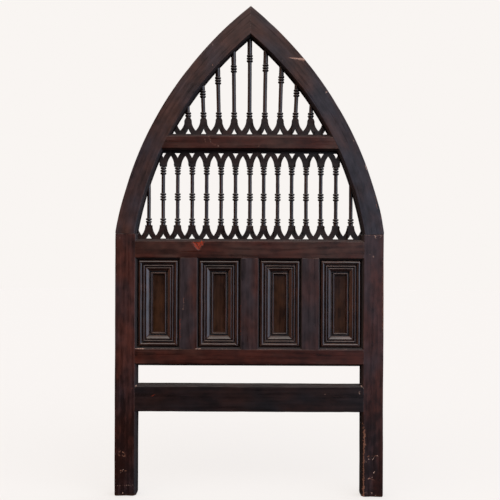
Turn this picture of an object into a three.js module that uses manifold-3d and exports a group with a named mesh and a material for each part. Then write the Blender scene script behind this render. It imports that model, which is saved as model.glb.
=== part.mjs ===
// A headboard with a pointed arch, in dark stained hardwood. Two posts carry two curved arch members that
// meet in a mitre at the apex. Rails and muntins are tenoned between them. The arch holds two galleries of
// turned spindles between fretted arcade strips, and below them are four boards with mitred mouldings.
// Millimetres, +X to the right, +Y to the back, +Z up, with the origin on the floor under the middle.
import * as THREE from "three";
import { mergeVertices } from "three/addons/utils/BufferGeometryUtils.js";
import Module from "manifold-3d";

const wasm = await Module();
wasm.setup();

// Overall sizes
const WIDTH = 1070;
const THICKNESS = 50;
const ARCH_RISE = 910;
const ARCH_RADIUS = 1498;
const ARCH_DEPTH_AT_APEX = 119;
const ARCH_INNER_RADIUS = 1323;
const ARCH_STEP = 4;
const RING_FACETS = 160;

// Faces of the members, without the chamfers that frame each opening
const POST_FACE = 78;
const MUNTIN_FACE = 66;
const CHAMFER = 9;
const MUNTIN_CHAMFER = 5;
const FLOOR_GAP = 337;
const BOTTOM_RAIL_FACE = 96.5;
const SLOT_HEIGHT = 95;
const PANEL_RAIL_FACE = 56;
const PANEL_OPENING_HEIGHT = 366;
const MIDDLE_RAIL_FACE = 64.5;
const POST_RISE = 30;
const LOWER_GALLERY_HEIGHT = 373;
const CROSS_RAIL_FACE = 45;

// Joints
const JOINT_GAP = 0.4;
const FIT = 0.3;
const TENON_THICKNESS = 18;
const TENON_LENGTH = 36;
const TENON_SHOULDER = 8;
const MUNTIN_TENON_LENGTH = 25;
const ARCH_TENON_LENGTH = 25;
const ARCH_TENON_WIDTH = 40;

// Panels: a board in grooves, with four mitred mouldings planted on it
const PANELS = 4;
const BOARD_DEPTH = 26;
const BOARD_THICKNESS = 12;
const BOARD_TONGUE = 7;
const MOULDING_SIDE_MARGIN = 4.5;
const MOULDING_END_MARGIN = 2;

// The moulding's section from its outer edge inwards. Crests and roots are depths behind the front plane.
const OUTER_BEAD = { width: 15.5, crest: 5, root: 12 };
const MIDDLE_BEAD = { width: 9, crest: 8, root: 12.5 };
const FILLET = { width: 5, depth: 10.5 };
const SLOPE = { width: 15.5, depth: 18.5 };
const INNER_BEAD = { width: 9, crest: 17, root: 21 };
const MOULDING_TOE = 3;

// Galleries: arcade strips sawn from one board, and turned spindles between them
const STRIP_DEPTH = 33;
const STRIP_THICKNESS = 16;
const LOWER_SPINDLES = 15;
const LOWER_END_SPACES = 0.42;
const LOWER_DRIFT = 6;
const UPPER_SPINDLES = 9;
const UPPER_END_SPACES = 1.3;
const UPPER_SHIFT = -3;
const FORK_WIDTH = 27.5;
const NOTCH_WIDTH = 25;
const LOWER_STRIP = { height: 56, valley: 14, sill: 2.5, notch: 24, dome: 0 };
const HANGING_STRIP = { height: 62, valley: 18, sill: 7, notch: 30, dome: 0 };
const UPPER_STRIP = { height: 61, valley: 19, sill: 5.5, notch: 30, dome: 9.5 };
const DOME_WIDTH = 18;
const CURVE_STEPS = 3;

// Spindles: beads stand in groups, at heights above the seat or below the head
const SPINDLE_SIDES = 6;
const BEAD_SPACING = 10.6;
const LOWER_TURNING = { shaft: 7.4, bead: 10.4, quirk: 8.2, collar: 8.3, foot: 16.2, middle: 113, headDrop: 20.5 };
const UPPER_TURNING = { shaft: 8, bead: 10.9, quirk: 8.6, collar: 9, foot: 13, headShare: 0.75 };
const SHORTEST_WITH_HEAD = 85;
const FAN_DEGREES = 0.8;

const WOOD = {
  post: { color: 0x3a231e, roughness: 0.5 },
  arch: { color: 0x33292a, roughness: 0.48 },
  rail: { color: 0x3d2723, roughness: 0.5 },
  bottomRail: { color: 0x24191a, roughness: 0.5 },
  muntin: { color: 0x3b2b2b, roughness: 0.5 },
  moulding: { color: 0x3f2f2d, roughness: 0.42 },
  board: { color: 0x38221c, roughness: 0.45 },
  strip: { color: 0x2a2120, roughness: 0.55 },
  spindle: { color: 0x322928, roughness: 0.45 },
};

// Heights of the face edges, worked out from the floor up
const bottomRailLow = FLOOR_GAP;
const bottomRailTop = bottomRailLow + BOTTOM_RAIL_FACE;
const panelRailLow = bottomRailTop + SLOT_HEIGHT;
const panelRailTop = panelRailLow + PANEL_RAIL_FACE;
const middleRailLow = panelRailTop + PANEL_OPENING_HEIGHT;
const middleRailTop = middleRailLow + MIDDLE_RAIL_FACE;
const shoulder = middleRailTop + POST_RISE;
const apex = shoulder + ARCH_RISE;
const crossRailLow = middleRailTop + LOWER_GALLERY_HEIGHT;
const crossRailTop = crossRailLow + CROSS_RAIL_FACE;

// Widths from the middle outwards, and the front and back planes
const postOuter = WIDTH / 2;
const postFaceEdge = postOuter - POST_FACE;
const postInner = postFaceEdge - CHAMFER;
const front = -THICKNESS / 2;
const back = THICKNESS / 2;
const muntinWidth = MUNTIN_FACE + 2 * MUNTIN_CHAMFER;
const clearWidth = (2 * postInner - (PANELS - 1) * muntinWidth) / PANELS;
const clearHeight = PANEL_OPENING_HEIGHT - 2 * CHAMFER;
const panelPitch = clearWidth + muntinWidth;
const panelMiddle = panelRailTop + PANEL_OPENING_HEIGHT / 2;
const panelCentres = spread(PANELS, panelPitch);
const muntinCentres = spread(PANELS - 1, panelPitch);

// The arch's edges: each is an arc that starts above the post and ends over the middle
const outerArc = arcThrough(postOuter, shoulder, apex, ARCH_RADIUS);
const innerArc = arcThrough(postInner + ARCH_STEP, shoulder, apex - ARCH_DEPTH_AT_APEX, ARCH_INNER_RADIUS);

const group = new THREE.Group();
build();
export default group;

// Positions of a number of things at one pitch, centred on zero
function spread(count, pitch) {
  return Array.from({ length: count }, (_, i) => (i - (count - 1) / 2) * pitch);
}

// The arc of the right-hand edge, from a half width at a low height to the middle at a high one
function arcThrough(halfWidth, low, high, radius) {
  const start = point(halfWidth, low);
  const chord = point(-halfWidth, high - low);
  const away = Math.sqrt(radius ** 2 - chord.lengthSq() / 4);
  const inwards = point(-chord.y, chord.x).normalize().multiplyScalar(away);
  const centre = start.addScaledVector(chord, 0.5).add(inwards);
  return { x: centre.x, z: centre.y, radius };
}

// The half width of the right-hand arc at a height, and its height at a distance from the middle
function arcHalfWidth(arc, height) {
  return arc.x + Math.sqrt(arc.radius ** 2 - (height - arc.z) ** 2);
}

function arcHeight(arc, x) {
  return arc.z + Math.sqrt(arc.radius ** 2 - (Math.abs(x) - arc.x) ** 2);
}

// A solid from three.js geometry: vertices are merged, and triangles without area at a pole are left out
function solid(geometry) {
  const bare = geometry.clone();
  bare.deleteAttribute("normal");
  bare.deleteAttribute("uv");
  const merged = mergeVertices(bare, 1e-3);
  const triangles = [];
  for (let i = 0; i < merged.index.count; i += 3) {
    const [a, b, c] = merged.index.array.slice(i, i + 3);
    if (a !== b && b !== c && c !== a) triangles.push(a, b, c);
  }
  const vertProperties = new Float32Array(merged.attributes.position.array);
  const triVerts = new Uint32Array(triangles);
  return new wasm.Manifold(new wasm.Mesh({ numProp: 3, vertProperties, triVerts }));
}

function geometryOf(manifold) {
  const mesh = manifold.getMesh();
  const geometry = new THREE.BufferGeometry();
  geometry.setAttribute("position", new THREE.BufferAttribute(mesh.vertProperties, mesh.numProp));
  geometry.setIndex(new THREE.BufferAttribute(mesh.triVerts, 1));
  const flat = geometry.toNonIndexed();
  flat.computeVertexNormals();
  return flat;
}

// A plate between two Y planes, from an outline in X and Z
function plate(outline, fromY = front, toY = back) {
  const geometry = new THREE.ExtrudeGeometry(new THREE.Shape(outline), { depth: toY - fromY, bevelEnabled: false });
  geometry.rotateX(Math.PI / 2);
  geometry.translate(0, toY, 0);
  return solid(geometry);
}

// A bar along X, from a section in Y and Z
function levelBar(section, fromX, toX) {
  const shape = new THREE.Shape(section.map(([y, z]) => point(y, z)));
  const geometry = new THREE.ExtrudeGeometry(shape, { depth: toX - fromX, bevelEnabled: false });
  geometry.rotateX(Math.PI / 2);
  geometry.rotateZ(Math.PI / 2);
  geometry.translate(fromX, 0, 0);
  return solid(geometry);
}

// A bar along Z, from a section in X and Y
function uprightBar(section, fromZ, toZ) {
  const shape = new THREE.Shape(section.map(([x, y]) => point(x, y)));
  const geometry = new THREE.ExtrudeGeometry(shape, { depth: toZ - fromZ, bevelEnabled: false });
  geometry.translate(0, 0, fromZ);
  return solid(geometry);
}

function block(low, high) {
  const size = high.map((value, axis) => value - low[axis]);
  const geometry = new THREE.BoxGeometry(...size);
  geometry.translate(...low.map((value, axis) => value + size[axis] / 2));
  return solid(geometry);
}

// A turned body whose axis runs from front to back through a point in X and Z
function turned(profile, x, z) {
  const geometry = new THREE.LatheGeometry(profile, RING_FACETS);
  geometry.translate(x, 0, z);
  return solid(geometry);
}

function disc(radius, x, z) {
  return turned([point(0, front), point(radius, front), point(radius, back), point(0, back)], x, z);
}

function point(x, y) {
  return new THREE.Vector2(x, y);
}

// The low and high of a range that lies on the left for side -1 and on the right for side 1
function sideways(side, near, far) {
  return side > 0 ? [near, far] : [-far, -near];
}

// Cuts boxes out of a member, each with the clearance of a fit all round
function cutBoxes(member, boxes) {
  return boxes.reduce((rest, [low, high]) => {
    const hole = block(low.map((value) => value - FIT), high.map((value) => value + FIT));
    return rest.subtract(hole);
  }, member);
}

// Tenons and boards are boxes, given by their low and high corners
function railTenon(side, halfLength, low, high) {
  const [x0, x1] = sideways(side, halfLength - 2 * CHAMFER, halfLength + TENON_LENGTH);
  return [
    [x0, -TENON_THICKNESS / 2, low + TENON_SHOULDER],
    [x1, TENON_THICKNESS / 2, high - TENON_SHOULDER],
  ];
}

function crossRailTenon(side) {
  const halfLength = arcHalfWidth(innerArc, (crossRailLow + crossRailTop) / 2) + CHAMFER;
  return railTenon(side, halfLength, crossRailLow, crossRailTop);
}

function archTenon(side) {
  const middle = (postOuter + postInner + ARCH_STEP) / 2;
  const [x0, x1] = sideways(side, middle - ARCH_TENON_WIDTH / 2, middle + ARCH_TENON_WIDTH / 2);
  return [
    [x0, -TENON_THICKNESS / 2, shoulder - ARCH_TENON_LENGTH],
    [x1, TENON_THICKNESS / 2, shoulder + ARCH_TENON_LENGTH / 2],
  ];
}

function muntinTenon(centre, low, high) {
  const half = MUNTIN_FACE / 2 - TENON_SHOULDER;
  return [
    [centre - half, -TENON_THICKNESS / 2, low],
    [centre + half, TENON_THICKNESS / 2, high],
  ];
}

function muntinFootTenon(centre) {
  return muntinTenon(centre, panelRailTop - MUNTIN_TENON_LENGTH, panelRailTop + 2 * CHAMFER);
}

function muntinHeadTenon(centre) {
  return muntinTenon(centre, middleRailLow - 2 * CHAMFER, middleRailLow + MUNTIN_TENON_LENGTH);
}

function board(centre) {
  const halfWidth = clearWidth / 2 + BOARD_TONGUE;
  const halfHeight = clearHeight / 2 + BOARD_TONGUE;
  return [
    [centre - halfWidth, front + BOARD_DEPTH, panelMiddle - halfHeight],
    [centre + halfWidth, front + BOARD_DEPTH + BOARD_THICKNESS, panelMiddle + halfHeight],
  ];
}

// A post: a bar whose inner front edge is chamfered from the floor to the shoulder
function post(side) {
  const section = [
    [postOuter, front],
    [postOuter, back],
    [postInner, back],
    [postInner, front + CHAMFER],
    [postFaceEdge, front],
  ].map(([x, y]) => [side * x, y]);
  const spans = [
    [bottomRailLow, bottomRailTop],
    [panelRailLow, panelRailTop],
    [middleRailLow, middleRailTop],
  ];
  const tenons = spans.map(([low, high]) => railTenon(side, postFaceEdge, low, high));
  const boxes = [...tenons, archTenon(side), ...panelCentres.map(board)];
  return cutBoxes(uprightBar(section, 0, shoulder), boxes);
}

// The space inside one inner arc: straight at the back, and flared by the chamfer at the front
function insideArc(side) {
  const { x, z, radius } = innerArc;
  const profile = [
    point(0, front - 1),
    point(radius + CHAMFER + 1, front - 1),
    point(radius, front + CHAMFER),
    point(radius, back + 1),
    point(0, back + 1),
  ];
  return turned(profile, side * x, z);
}

// An arch member: the part of a disc outside the inner arc, from the shoulder to the mitre
function archMember(side) {
  const [x0, x1] = sideways(side, JOINT_GAP / 2, WIDTH);
  const half = block([x0, 2 * front, shoulder + JOINT_GAP], [x1, 2 * back, apex + WIDTH]);
  const body = disc(outerArc.radius, side * outerArc.x, outerArc.z).intersect(half).subtract(insideArc(side));
  return cutBoxes(body, [crossRailTenon(side)]).add(block(...archTenon(side)));
}

// The section of a rail, with a chamfer above or below where it frames an opening
function railSection(low, high, { above = true, below = true } = {}) {
  const rise = above ? CHAMFER : 0;
  const drop = below ? CHAMFER : 0;
  return [
    [front, low],
    [front, high],
    ...(above ? [[front + CHAMFER, high + rise]] : []),
    [back, high + rise],
    [back, low - drop],
    ...(below ? [[front + CHAMFER, low - drop]] : []),
  ];
}

// Scribes both ends of a rail to the members that it butts on, and adds its tenons
function joined(body, tenonOf, memberOf) {
  return [-1, 1].reduce((rest, side) => {
    const member = memberOf(side).translate([-side * JOINT_GAP, 0, 0]);
    return rest.subtract(member).add(block(...tenonOf(side)));
  }, body);
}

// The space taken by a post and what is beyond it, which the rails' ends are scribed to
function beyondPost(side) {
  const section = [
    [WIDTH, front - 1],
    [WIDTH, back + 1],
    [postInner, back + 1],
    [postInner, front + CHAMFER],
    [postFaceEdge + 1, front - 1],
  ].map(([x, y]) => [side * x, y]);
  return uprightBar(section, 0, apex);
}

function beyondArch(side) {
  const [x0, x1] = sideways(side, 0, WIDTH);
  return block([x0, 2 * front, 0], [x1, 2 * back, apex]).subtract(insideArc(side));
}

function postRail(low, high, { below = true, boxes = [] } = {}) {
  const bar = levelBar(railSection(low, high, { below }), -postFaceEdge, postFaceEdge);
  return joined(cutBoxes(bar, boxes), (side) => railTenon(side, postFaceEdge, low, high), beyondPost);
}

function crossRail() {
  const half = arcHalfWidth(innerArc, crossRailLow - CHAMFER) + 2 * CHAMFER;
  const bar = levelBar(railSection(crossRailLow, crossRailTop), -half, half);
  return joined(bar, crossRailTenon, beyondArch);
}

// A muntin: a bar with chamfered front edges, scribed over the chamfers of the rails
function muntin(centre) {
  const edge = MUNTIN_FACE / 2;
  const half = muntinWidth / 2;
  const section = [
    [-edge, front],
    [edge, front],
    [half, front + MUNTIN_CHAMFER],
    [half, back],
    [-half, back],
    [-half, front + MUNTIN_CHAMFER],
  ].map(([x, y]) => [centre + x, y]);
  const low = panelRailTop + JOINT_GAP;
  const high = middleRailLow - JOINT_GAP;
  const railUnder = levelBar(railSection(0, low, { below: false }), -WIDTH, WIDTH);
  const railOver = levelBar(railSection(high, apex, { above: false }), -WIDTH, WIDTH);
  return cutBoxes(uprightBar(section, low, high), panelCentres.map(board))
    .subtract(railUnder)
    .subtract(railOver)
    .add(block(...muntinFootTenon(centre)))
    .add(block(...muntinHeadTenon(centre)));
}

// A round bead in the moulding's section: it rises from its root to its crest and falls back
function bead(start, { width, crest, root }) {
  return [0, 0.18, 0.5, 0.82, 1].map((share) => {
    const rise = (root - crest) * Math.sin(Math.PI * share) ** 0.7;
    return [start + share * width, root - rise];
  });
}

function mouldingSection() {
  const filletStart = OUTER_BEAD.width + MIDDLE_BEAD.width;
  const slopeStart = filletStart + FILLET.width;
  const innerStart = slopeStart + SLOPE.width;
  const toe = innerStart + INNER_BEAD.width + MOULDING_TOE;
  return [
    ...bead(0, OUTER_BEAD),
    ...bead(OUTER_BEAD.width, MIDDLE_BEAD).slice(1),
    [filletStart + 1, FILLET.depth],
    [slopeStart, FILLET.depth],
    [innerStart, SLOPE.depth],
    ...bead(innerStart + 1, INNER_BEAD),
    [toe, BOARD_DEPTH - FIT],
    [0, BOARD_DEPTH - FIT],
  ];
}

// One side of a panel's moulding, mitred at both ends, with its outer edge along X and its width downwards
function moulding(length) {
  const section = mouldingSection().map(([inwards, depth]) => [front + depth, -inwards]);
  const width = Math.max(...section.map(([, z]) => -z));
  const end = length / 2 - JOINT_GAP / 2;
  const mitres = [
    point(-end - 1, 1),
    point(end + 1, 1),
    point(end - width - 1, -width - 1),
    point(-end + width + 1, -width - 1),
  ];
  return geometryOf(levelBar(section, -length / 2, length / 2).intersect(plate(mitres)));
}

// The clear space inside the posts and the arch, which strips and spindles are trimmed to
function galleryOpening() {
  const radius = innerArc.radius - FIT;
  const half = postInner - FIT;
  const between = block([-half, front, middleRailTop], [half, back, apex]);
  return disc(radius, innerArc.x, innerArc.z).intersect(disc(radius, -innerArc.x, innerArc.z)).intersect(between);
}

// The largest of the parts that trimming leaves
function largest(manifold) {
  return manifold.decompose().sort((a, b) => b.volume() - a.volume())[0];
}

// Half of a fork from its tip to the valley beside it: a short ear, and then a curve that spreads outwards
function forkSide(strip, reach) {
  const tall = strip.height - strip.valley;
  const tip = point(FORK_WIDTH / 2, strip.height);
  const ear = point(tip.x, strip.height - 0.12 * tall);
  const valley = point(reach, strip.valley);
  const pull = point(ear.x + 0.1 * (valley.x - ear.x), strip.valley + 0.4 * tall);
  return [tip, ...new THREE.QuadraticBezierCurve(ear, pull, valley).getPoints(CURVE_STEPS)];
}

function domePoints(strip) {
  if (!strip.dome) return [];
  const top = strip.height + strip.dome;
  const edge = strip.height + 0.55 * strip.dome;
  return [point(-DOME_WIDTH / 2, edge), point(0, top), point(DOME_WIDTH / 2, edge)];
}

// The notch under a fork: a triangle with hollow sides above a thin sill
function notchPoints(strip) {
  const half = NOTCH_WIDTH / 2;
  const rise = strip.notch - strip.sill;
  const right = [point(half, strip.sill), point(0.36 * half, strip.sill + 0.5 * rise)];
  const left = right.map((p) => point(-p.x, p.y)).reverse();
  return [...right, point(0, strip.notch), ...left];
}

// A strip of forks on a base line, standing up from it or hanging down. Its end forks are trimmed later.
function arcade(strip, centres, base, upwards) {
  const place = (points, centre) => points.map((p) => point(centre + p.x, base + upwards * p.y));
  const reach = centres.slice(1).map((centre, i) => (centre - centres[i]) / 2);
  const crown = centres.flatMap((centre, i) => {
    const left = forkSide(strip, reach[i - 1] ?? reach[i]).map((p) => point(-p.x, p.y)).reverse();
    const right = forkSide(strip, reach[i] ?? reach[i - 1]);
    return place([...left.slice(i ? 1 : 0), ...domePoints(strip), ...right], centre);
  });
  const middle = front + STRIP_DEPTH;
  const whole = plate(
    [point(crown[crown.length - 1].x, base), point(crown[0].x, base), ...crown],
    middle - STRIP_THICKNESS / 2,
    middle + STRIP_THICKNESS / 2,
  );
  return centres.reduce((rest, centre) => rest.subtract(plate(place(notchPoints(strip), centre))), whole);
}

// A group of beads in a turning's profile, between the radii below and above it
function beadGroup(turning, { centre, count, below, above }) {
  const low = centre - (count * BEAD_SPACING) / 2;
  const points = [point(below, low)];
  for (let i = 0; i < count; i++) {
    points.push(point(turning.bead, low + (i + 0.5) * BEAD_SPACING));
    points.push(point(i < count - 1 ? turning.quirk : above, low + (i + 1) * BEAD_SPACING));
  }
  return points;
}

// A spindle along Z from its seat, as a profile of bead groups on a shaft
function spindle(turning, length, groups) {
  const beads = groups.flatMap((beadsHere) => beadGroup(turning, beadsHere));
  const top = groups[groups.length - 1].above;
  const profile = [
    point(0, -1),
    point(turning.collar, -1),
    ...beads,
    point(top, length + 1),
    point(0, length + 1),
  ];
  const geometry = new THREE.LatheGeometry(profile, SPINDLE_SIDES);
  geometry.rotateX(Math.PI / 2);
  return geometry;
}

// A spindle in its place, cut off between its seat and its head and trimmed to the opening
function placedSpindle(geometry, x, lean, seat, head, opening) {
  geometry.rotateY(lean);
  geometry.translate(x, front + STRIP_DEPTH, seat);
  const reach = head - seat;
  const span = block([x - reach, front, seat + FIT], [x + reach, back, head - FIT]);
  return geometryOf(largest(solid(geometry).intersect(span).intersect(opening)));
}

function add(name, geometry, wood, parent = group) {
  const material = new THREE.MeshStandardMaterial({ ...wood, metalness: 0 });
  const mesh = new THREE.Mesh(geometry, material);
  mesh.name = name;
  parent.add(mesh);
  return mesh;
}

function buildFrame() {
  for (const [name, side] of [["left", -1], ["right", 1]]) {
    add(`${name}_post`, geometryOf(post(side)), WOOD.post);
    add(`${name}_arch`, geometryOf(archMember(side)), WOOD.arch);
  }
  const boards = panelCentres.map(board);
  const underMuntins = [...boards, ...muntinCentres.map(muntinFootTenon)];
  const overMuntins = [...boards, ...muntinCentres.map(muntinHeadTenon)];
  const bottomRail = postRail(bottomRailLow, bottomRailTop, { below: false });
  const panelRail = postRail(panelRailLow, panelRailTop, { boxes: underMuntins });
  const middleRail = postRail(middleRailLow, middleRailTop, { boxes: overMuntins });
  add("bottom_rail", geometryOf(bottomRail), WOOD.bottomRail);
  add("lower_panel_rail", geometryOf(panelRail), WOOD.rail);
  add("middle_rail", geometryOf(middleRail), WOOD.rail);
  add("cross_rail", geometryOf(crossRail()), WOOD.rail);
  muntinCentres.forEach((centre, i) => add(`muntin_${i + 1}`, geometryOf(muntin(centre)), WOOD.muntin));
}

function buildPanels() {
  const frameWidth = clearWidth - 2 * MOULDING_SIDE_MARGIN;
  const frameHeight = clearHeight - 2 * MOULDING_END_MARGIN;
  const across = moulding(frameWidth);
  const upright = moulding(frameHeight);
  panelCentres.forEach((centre, i) => {
    const name = `panel_${i + 1}`;
    add(`panel_board_${i + 1}`, geometryOf(block(...board(centre))), WOOD.board);
    const frame = new THREE.Group();
    frame.position.set(centre, 0, panelMiddle);
    group.add(frame);
    const sides = [
      ["top", across, 0, 0, frameHeight / 2],
      ["right", upright, Math.PI / 2, frameWidth / 2, 0],
      ["bottom", across, Math.PI, 0, -frameHeight / 2],
      ["left", upright, -Math.PI / 2, -frameWidth / 2, 0],
    ];
    for (const [side, geometry, turn, x, z] of sides) {
      const mesh = add(`${name}_${side}_moulding`, geometry, WOOD.moulding, frame);
      mesh.position.set(x, 0, z);
      mesh.rotation.y = turn;
    }
  });
}

// The places of the lower forks, which were laid out by hand and drift to the left in the right half
function lowerCentres(count) {
  const pitch = (2 * postInner) / (LOWER_SPINDLES + LOWER_END_SPACES);
  const end = (pitch * (LOWER_SPINDLES - 1)) / 2;
  return spread(count, pitch).map((x) => {
    const share = THREE.MathUtils.clamp(x / end, 0, 1);
    return x - LOWER_DRIFT * Math.sin(Math.PI * share);
  });
}

function upperCentres(count) {
  const room = 2 * arcHalfWidth(innerArc, crossRailTop + CHAMFER);
  return spread(count, room / (UPPER_SPINDLES + UPPER_END_SPACES)).map((x) => x + UPPER_SHIFT);
}

// The lower gallery: a standing strip, a hanging strip, and spindles that end in it or in the arch
function buildLowerGallery(opening) {
  const low = middleRailTop + CHAMFER + FIT;
  const high = crossRailLow - CHAMFER - FIT;
  const standing = arcade(LOWER_STRIP, lowerCentres(LOWER_SPINDLES + 2), low, 1);
  const hanging = arcade(HANGING_STRIP, lowerCentres(LOWER_SPINDLES), high, -1);
  add("lower_fret_bottom", geometryOf(largest(standing.intersect(opening))), WOOD.strip);
  add("lower_fret_top", geometryOf(largest(hanging.intersect(opening))), WOOD.strip);
  const seat = low + LOWER_STRIP.height;
  const forkEnd = high - HANGING_STRIP.height;
  const { shaft, collar, foot, middle, headDrop } = LOWER_TURNING;
  lowerCentres(LOWER_SPINDLES).forEach((x, i) => {
    const reachesFork = arcHeight(innerArc, Math.abs(x) + FORK_WIDTH / 2) > forkEnd;
    const head = Math.min(forkEnd, arcHeight(innerArc, x) + 4 * BEAD_SPACING);
    const groups = [{ centre: foot, count: 2, below: collar, above: shaft }];
    if (reachesFork) {
      groups.push({ centre: middle, count: 3, below: shaft, above: shaft });
      groups.push({ centre: head - seat - headDrop, count: 3, below: shaft, above: collar });
    }
    const geometry = spindle(LOWER_TURNING, head - seat, groups);
    add(`lower_spindle_${i + 1}`, placedSpindle(geometry, x, 0, seat, head, opening), WOOD.spindle);
  });
}

// The upper gallery: a strip with domed forks, and spindles that fan out a little and end in the arch
function buildUpperGallery(opening) {
  const low = crossRailTop + CHAMFER + FIT;
  const strip = arcade(UPPER_STRIP, upperCentres(UPPER_SPINDLES + 2), low, 1);
  add("upper_fret", geometryOf(largest(strip.intersect(opening))), WOOD.strip);
  const seat = low + UPPER_STRIP.height + UPPER_STRIP.dome;
  const { shaft, collar, foot, headShare } = UPPER_TURNING;
  upperCentres(UPPER_SPINDLES).forEach((x, i) => {
    const lean = THREE.MathUtils.degToRad(FAN_DEGREES) * (i - (UPPER_SPINDLES - 1) / 2);
    const length = arcHeight(innerArc, x) - seat;
    const groups = [{ centre: foot, count: 2, below: collar, above: shaft }];
    if (length > SHORTEST_WITH_HEAD)
      groups.push({ centre: headShare * length, count: 3, below: shaft, above: collar });
    const head = seat + length + 4 * BEAD_SPACING;
    const geometry = spindle(UPPER_TURNING, head - seat, groups);
    add(`upper_spindle_${i + 1}`, placedSpindle(geometry, x, lean, seat, head, opening), WOOD.spindle);
  });
}

function build() {
  const opening = galleryOpening();
  buildFrame();
  buildPanels();
  buildLowerGallery(opening);
  buildUpperGallery(opening);
}
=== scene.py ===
"""The looks of a headboard with a pointed arch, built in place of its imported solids.

Shapes are worked out in millimetres in the frame of the solids: X to the right, Y to the back, Z up, with the
floor at zero. They turn to metres when a mesh is made.
"""
import logging
from collections.abc import Callable
from dataclasses import dataclass
from enum import Enum
from functools import cache

import bmesh
import bpy
import numpy as np
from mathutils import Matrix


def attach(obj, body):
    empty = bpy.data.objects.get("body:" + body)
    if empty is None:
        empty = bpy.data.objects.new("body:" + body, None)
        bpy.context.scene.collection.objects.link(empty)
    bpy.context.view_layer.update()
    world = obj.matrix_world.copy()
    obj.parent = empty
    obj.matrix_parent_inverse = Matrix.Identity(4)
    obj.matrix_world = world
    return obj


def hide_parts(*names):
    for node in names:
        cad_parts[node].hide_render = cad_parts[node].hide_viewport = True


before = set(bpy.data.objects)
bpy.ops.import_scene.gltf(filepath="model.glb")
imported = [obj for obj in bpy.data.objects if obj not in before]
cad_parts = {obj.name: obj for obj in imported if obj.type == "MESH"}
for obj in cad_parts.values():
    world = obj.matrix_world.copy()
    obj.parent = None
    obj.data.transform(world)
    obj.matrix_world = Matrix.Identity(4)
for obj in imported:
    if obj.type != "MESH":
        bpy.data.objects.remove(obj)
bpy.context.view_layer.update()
MM = 0.001
Array = np.ndarray

# How wear, tone and painted light lie on every piece, in millimetres: the lengths over which rubbing, warmth
# and shade come and go, the heights between which the legs grow darker towards the floor, how deep behind the
# front a mark may lie, how far timber may be shifted so that no two pieces share their grain, and the
# sharpest turn that is shaded smooth, in degrees.
RUB_LENGTH, WARMTH_LENGTH, SHADE_LENGTH = 60, 260, 300
LEGS_LIGHT, LEGS_DARK = 560, 250
FRONT_DEPTH = 11
TIMBER_SHIFT = 900
SHARP_TURN = 38
log = logging.getLogger("headboard")


class Slot(Enum):
    """The record's material slots."""

    POST = "post_wood"
    ARCH = "arch_wood"
    RAIL = "rail_wood"
    STRETCHER = "stretcher_wood"
    MUNTIN = "muntin_wood"
    MOULDING = "moulding_wood"
    BOARD = "board_wood"
    FRET = "fret_wood"
    SPINDLE = "spindle_wood"


class Mark(Enum):
    """Kinds of mark on the front: fresh, bare and pale wear, with some pale strokes that are painted
    highlights, and dark spots of painted shade.
    """

    FRESH = "fresh"
    BARE = "bare"
    PALE = "pale"
    DARK = "dark"


@dataclass(frozen=True)
class Arc:
    """One edge of the arch, as the right-hand side of a circle about (x, z)."""

    x: float
    z: float
    radius: float

    @classmethod
    def through(cls, half_width: float, low: float, high: float, radius: float) -> "Arc":
        """An arc from a half width at a low height to the middle at a high one.

        The centre lies off the middle of the chord, at right angles to it, by the leg of the triangle whose
        long side is the radius and whose other leg is half the chord.

        Args:
            half_width: distance from the middle at the low end.
            low: height of the low end.
            high: height of the end over the middle.
            radius: radius of the arc.

        Returns:
            The arc.
        """
        chord = np.array([-half_width, high - low])
        length = np.hypot(*chord)
        inwards = np.array([-chord[1], chord[0]]) / length
        away = np.sqrt(radius**2 - length**2 / 4)
        centre = np.array([half_width, low]) + chord / 2 + inwards * away
        return cls(float(centre[0]), float(centre[1]), radius)

    def half_width(self, height: Array | float) -> Array | float:
        """The distance from the middle at a height."""
        return self.x + np.sqrt(self.radius**2 - (np.asarray(height) - self.z) ** 2)

    def height(self, x: Array | float) -> Array | float:
        """The height at a distance from the middle."""
        return self.z + np.sqrt(self.radius**2 - (np.abs(x) - self.x) ** 2)

    def between(self, low: float, middle: float, count: int) -> Array:
        """Points at equal turns from a height at the side to a distance from the middle at the top.

        Args:
            low: height of the first point.
            middle: distance from the middle of the last point.
            count: number of points.

        Returns:
            Rows of (x, z).
        """
        start = np.arcsin((low - self.z) / self.radius)
        end = np.arccos((middle - self.x) / self.radius)
        turn = np.linspace(start, end, count)
        return np.stack([self.x + self.radius * np.cos(turn), self.z + self.radius * np.sin(turn)], 1)


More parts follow.
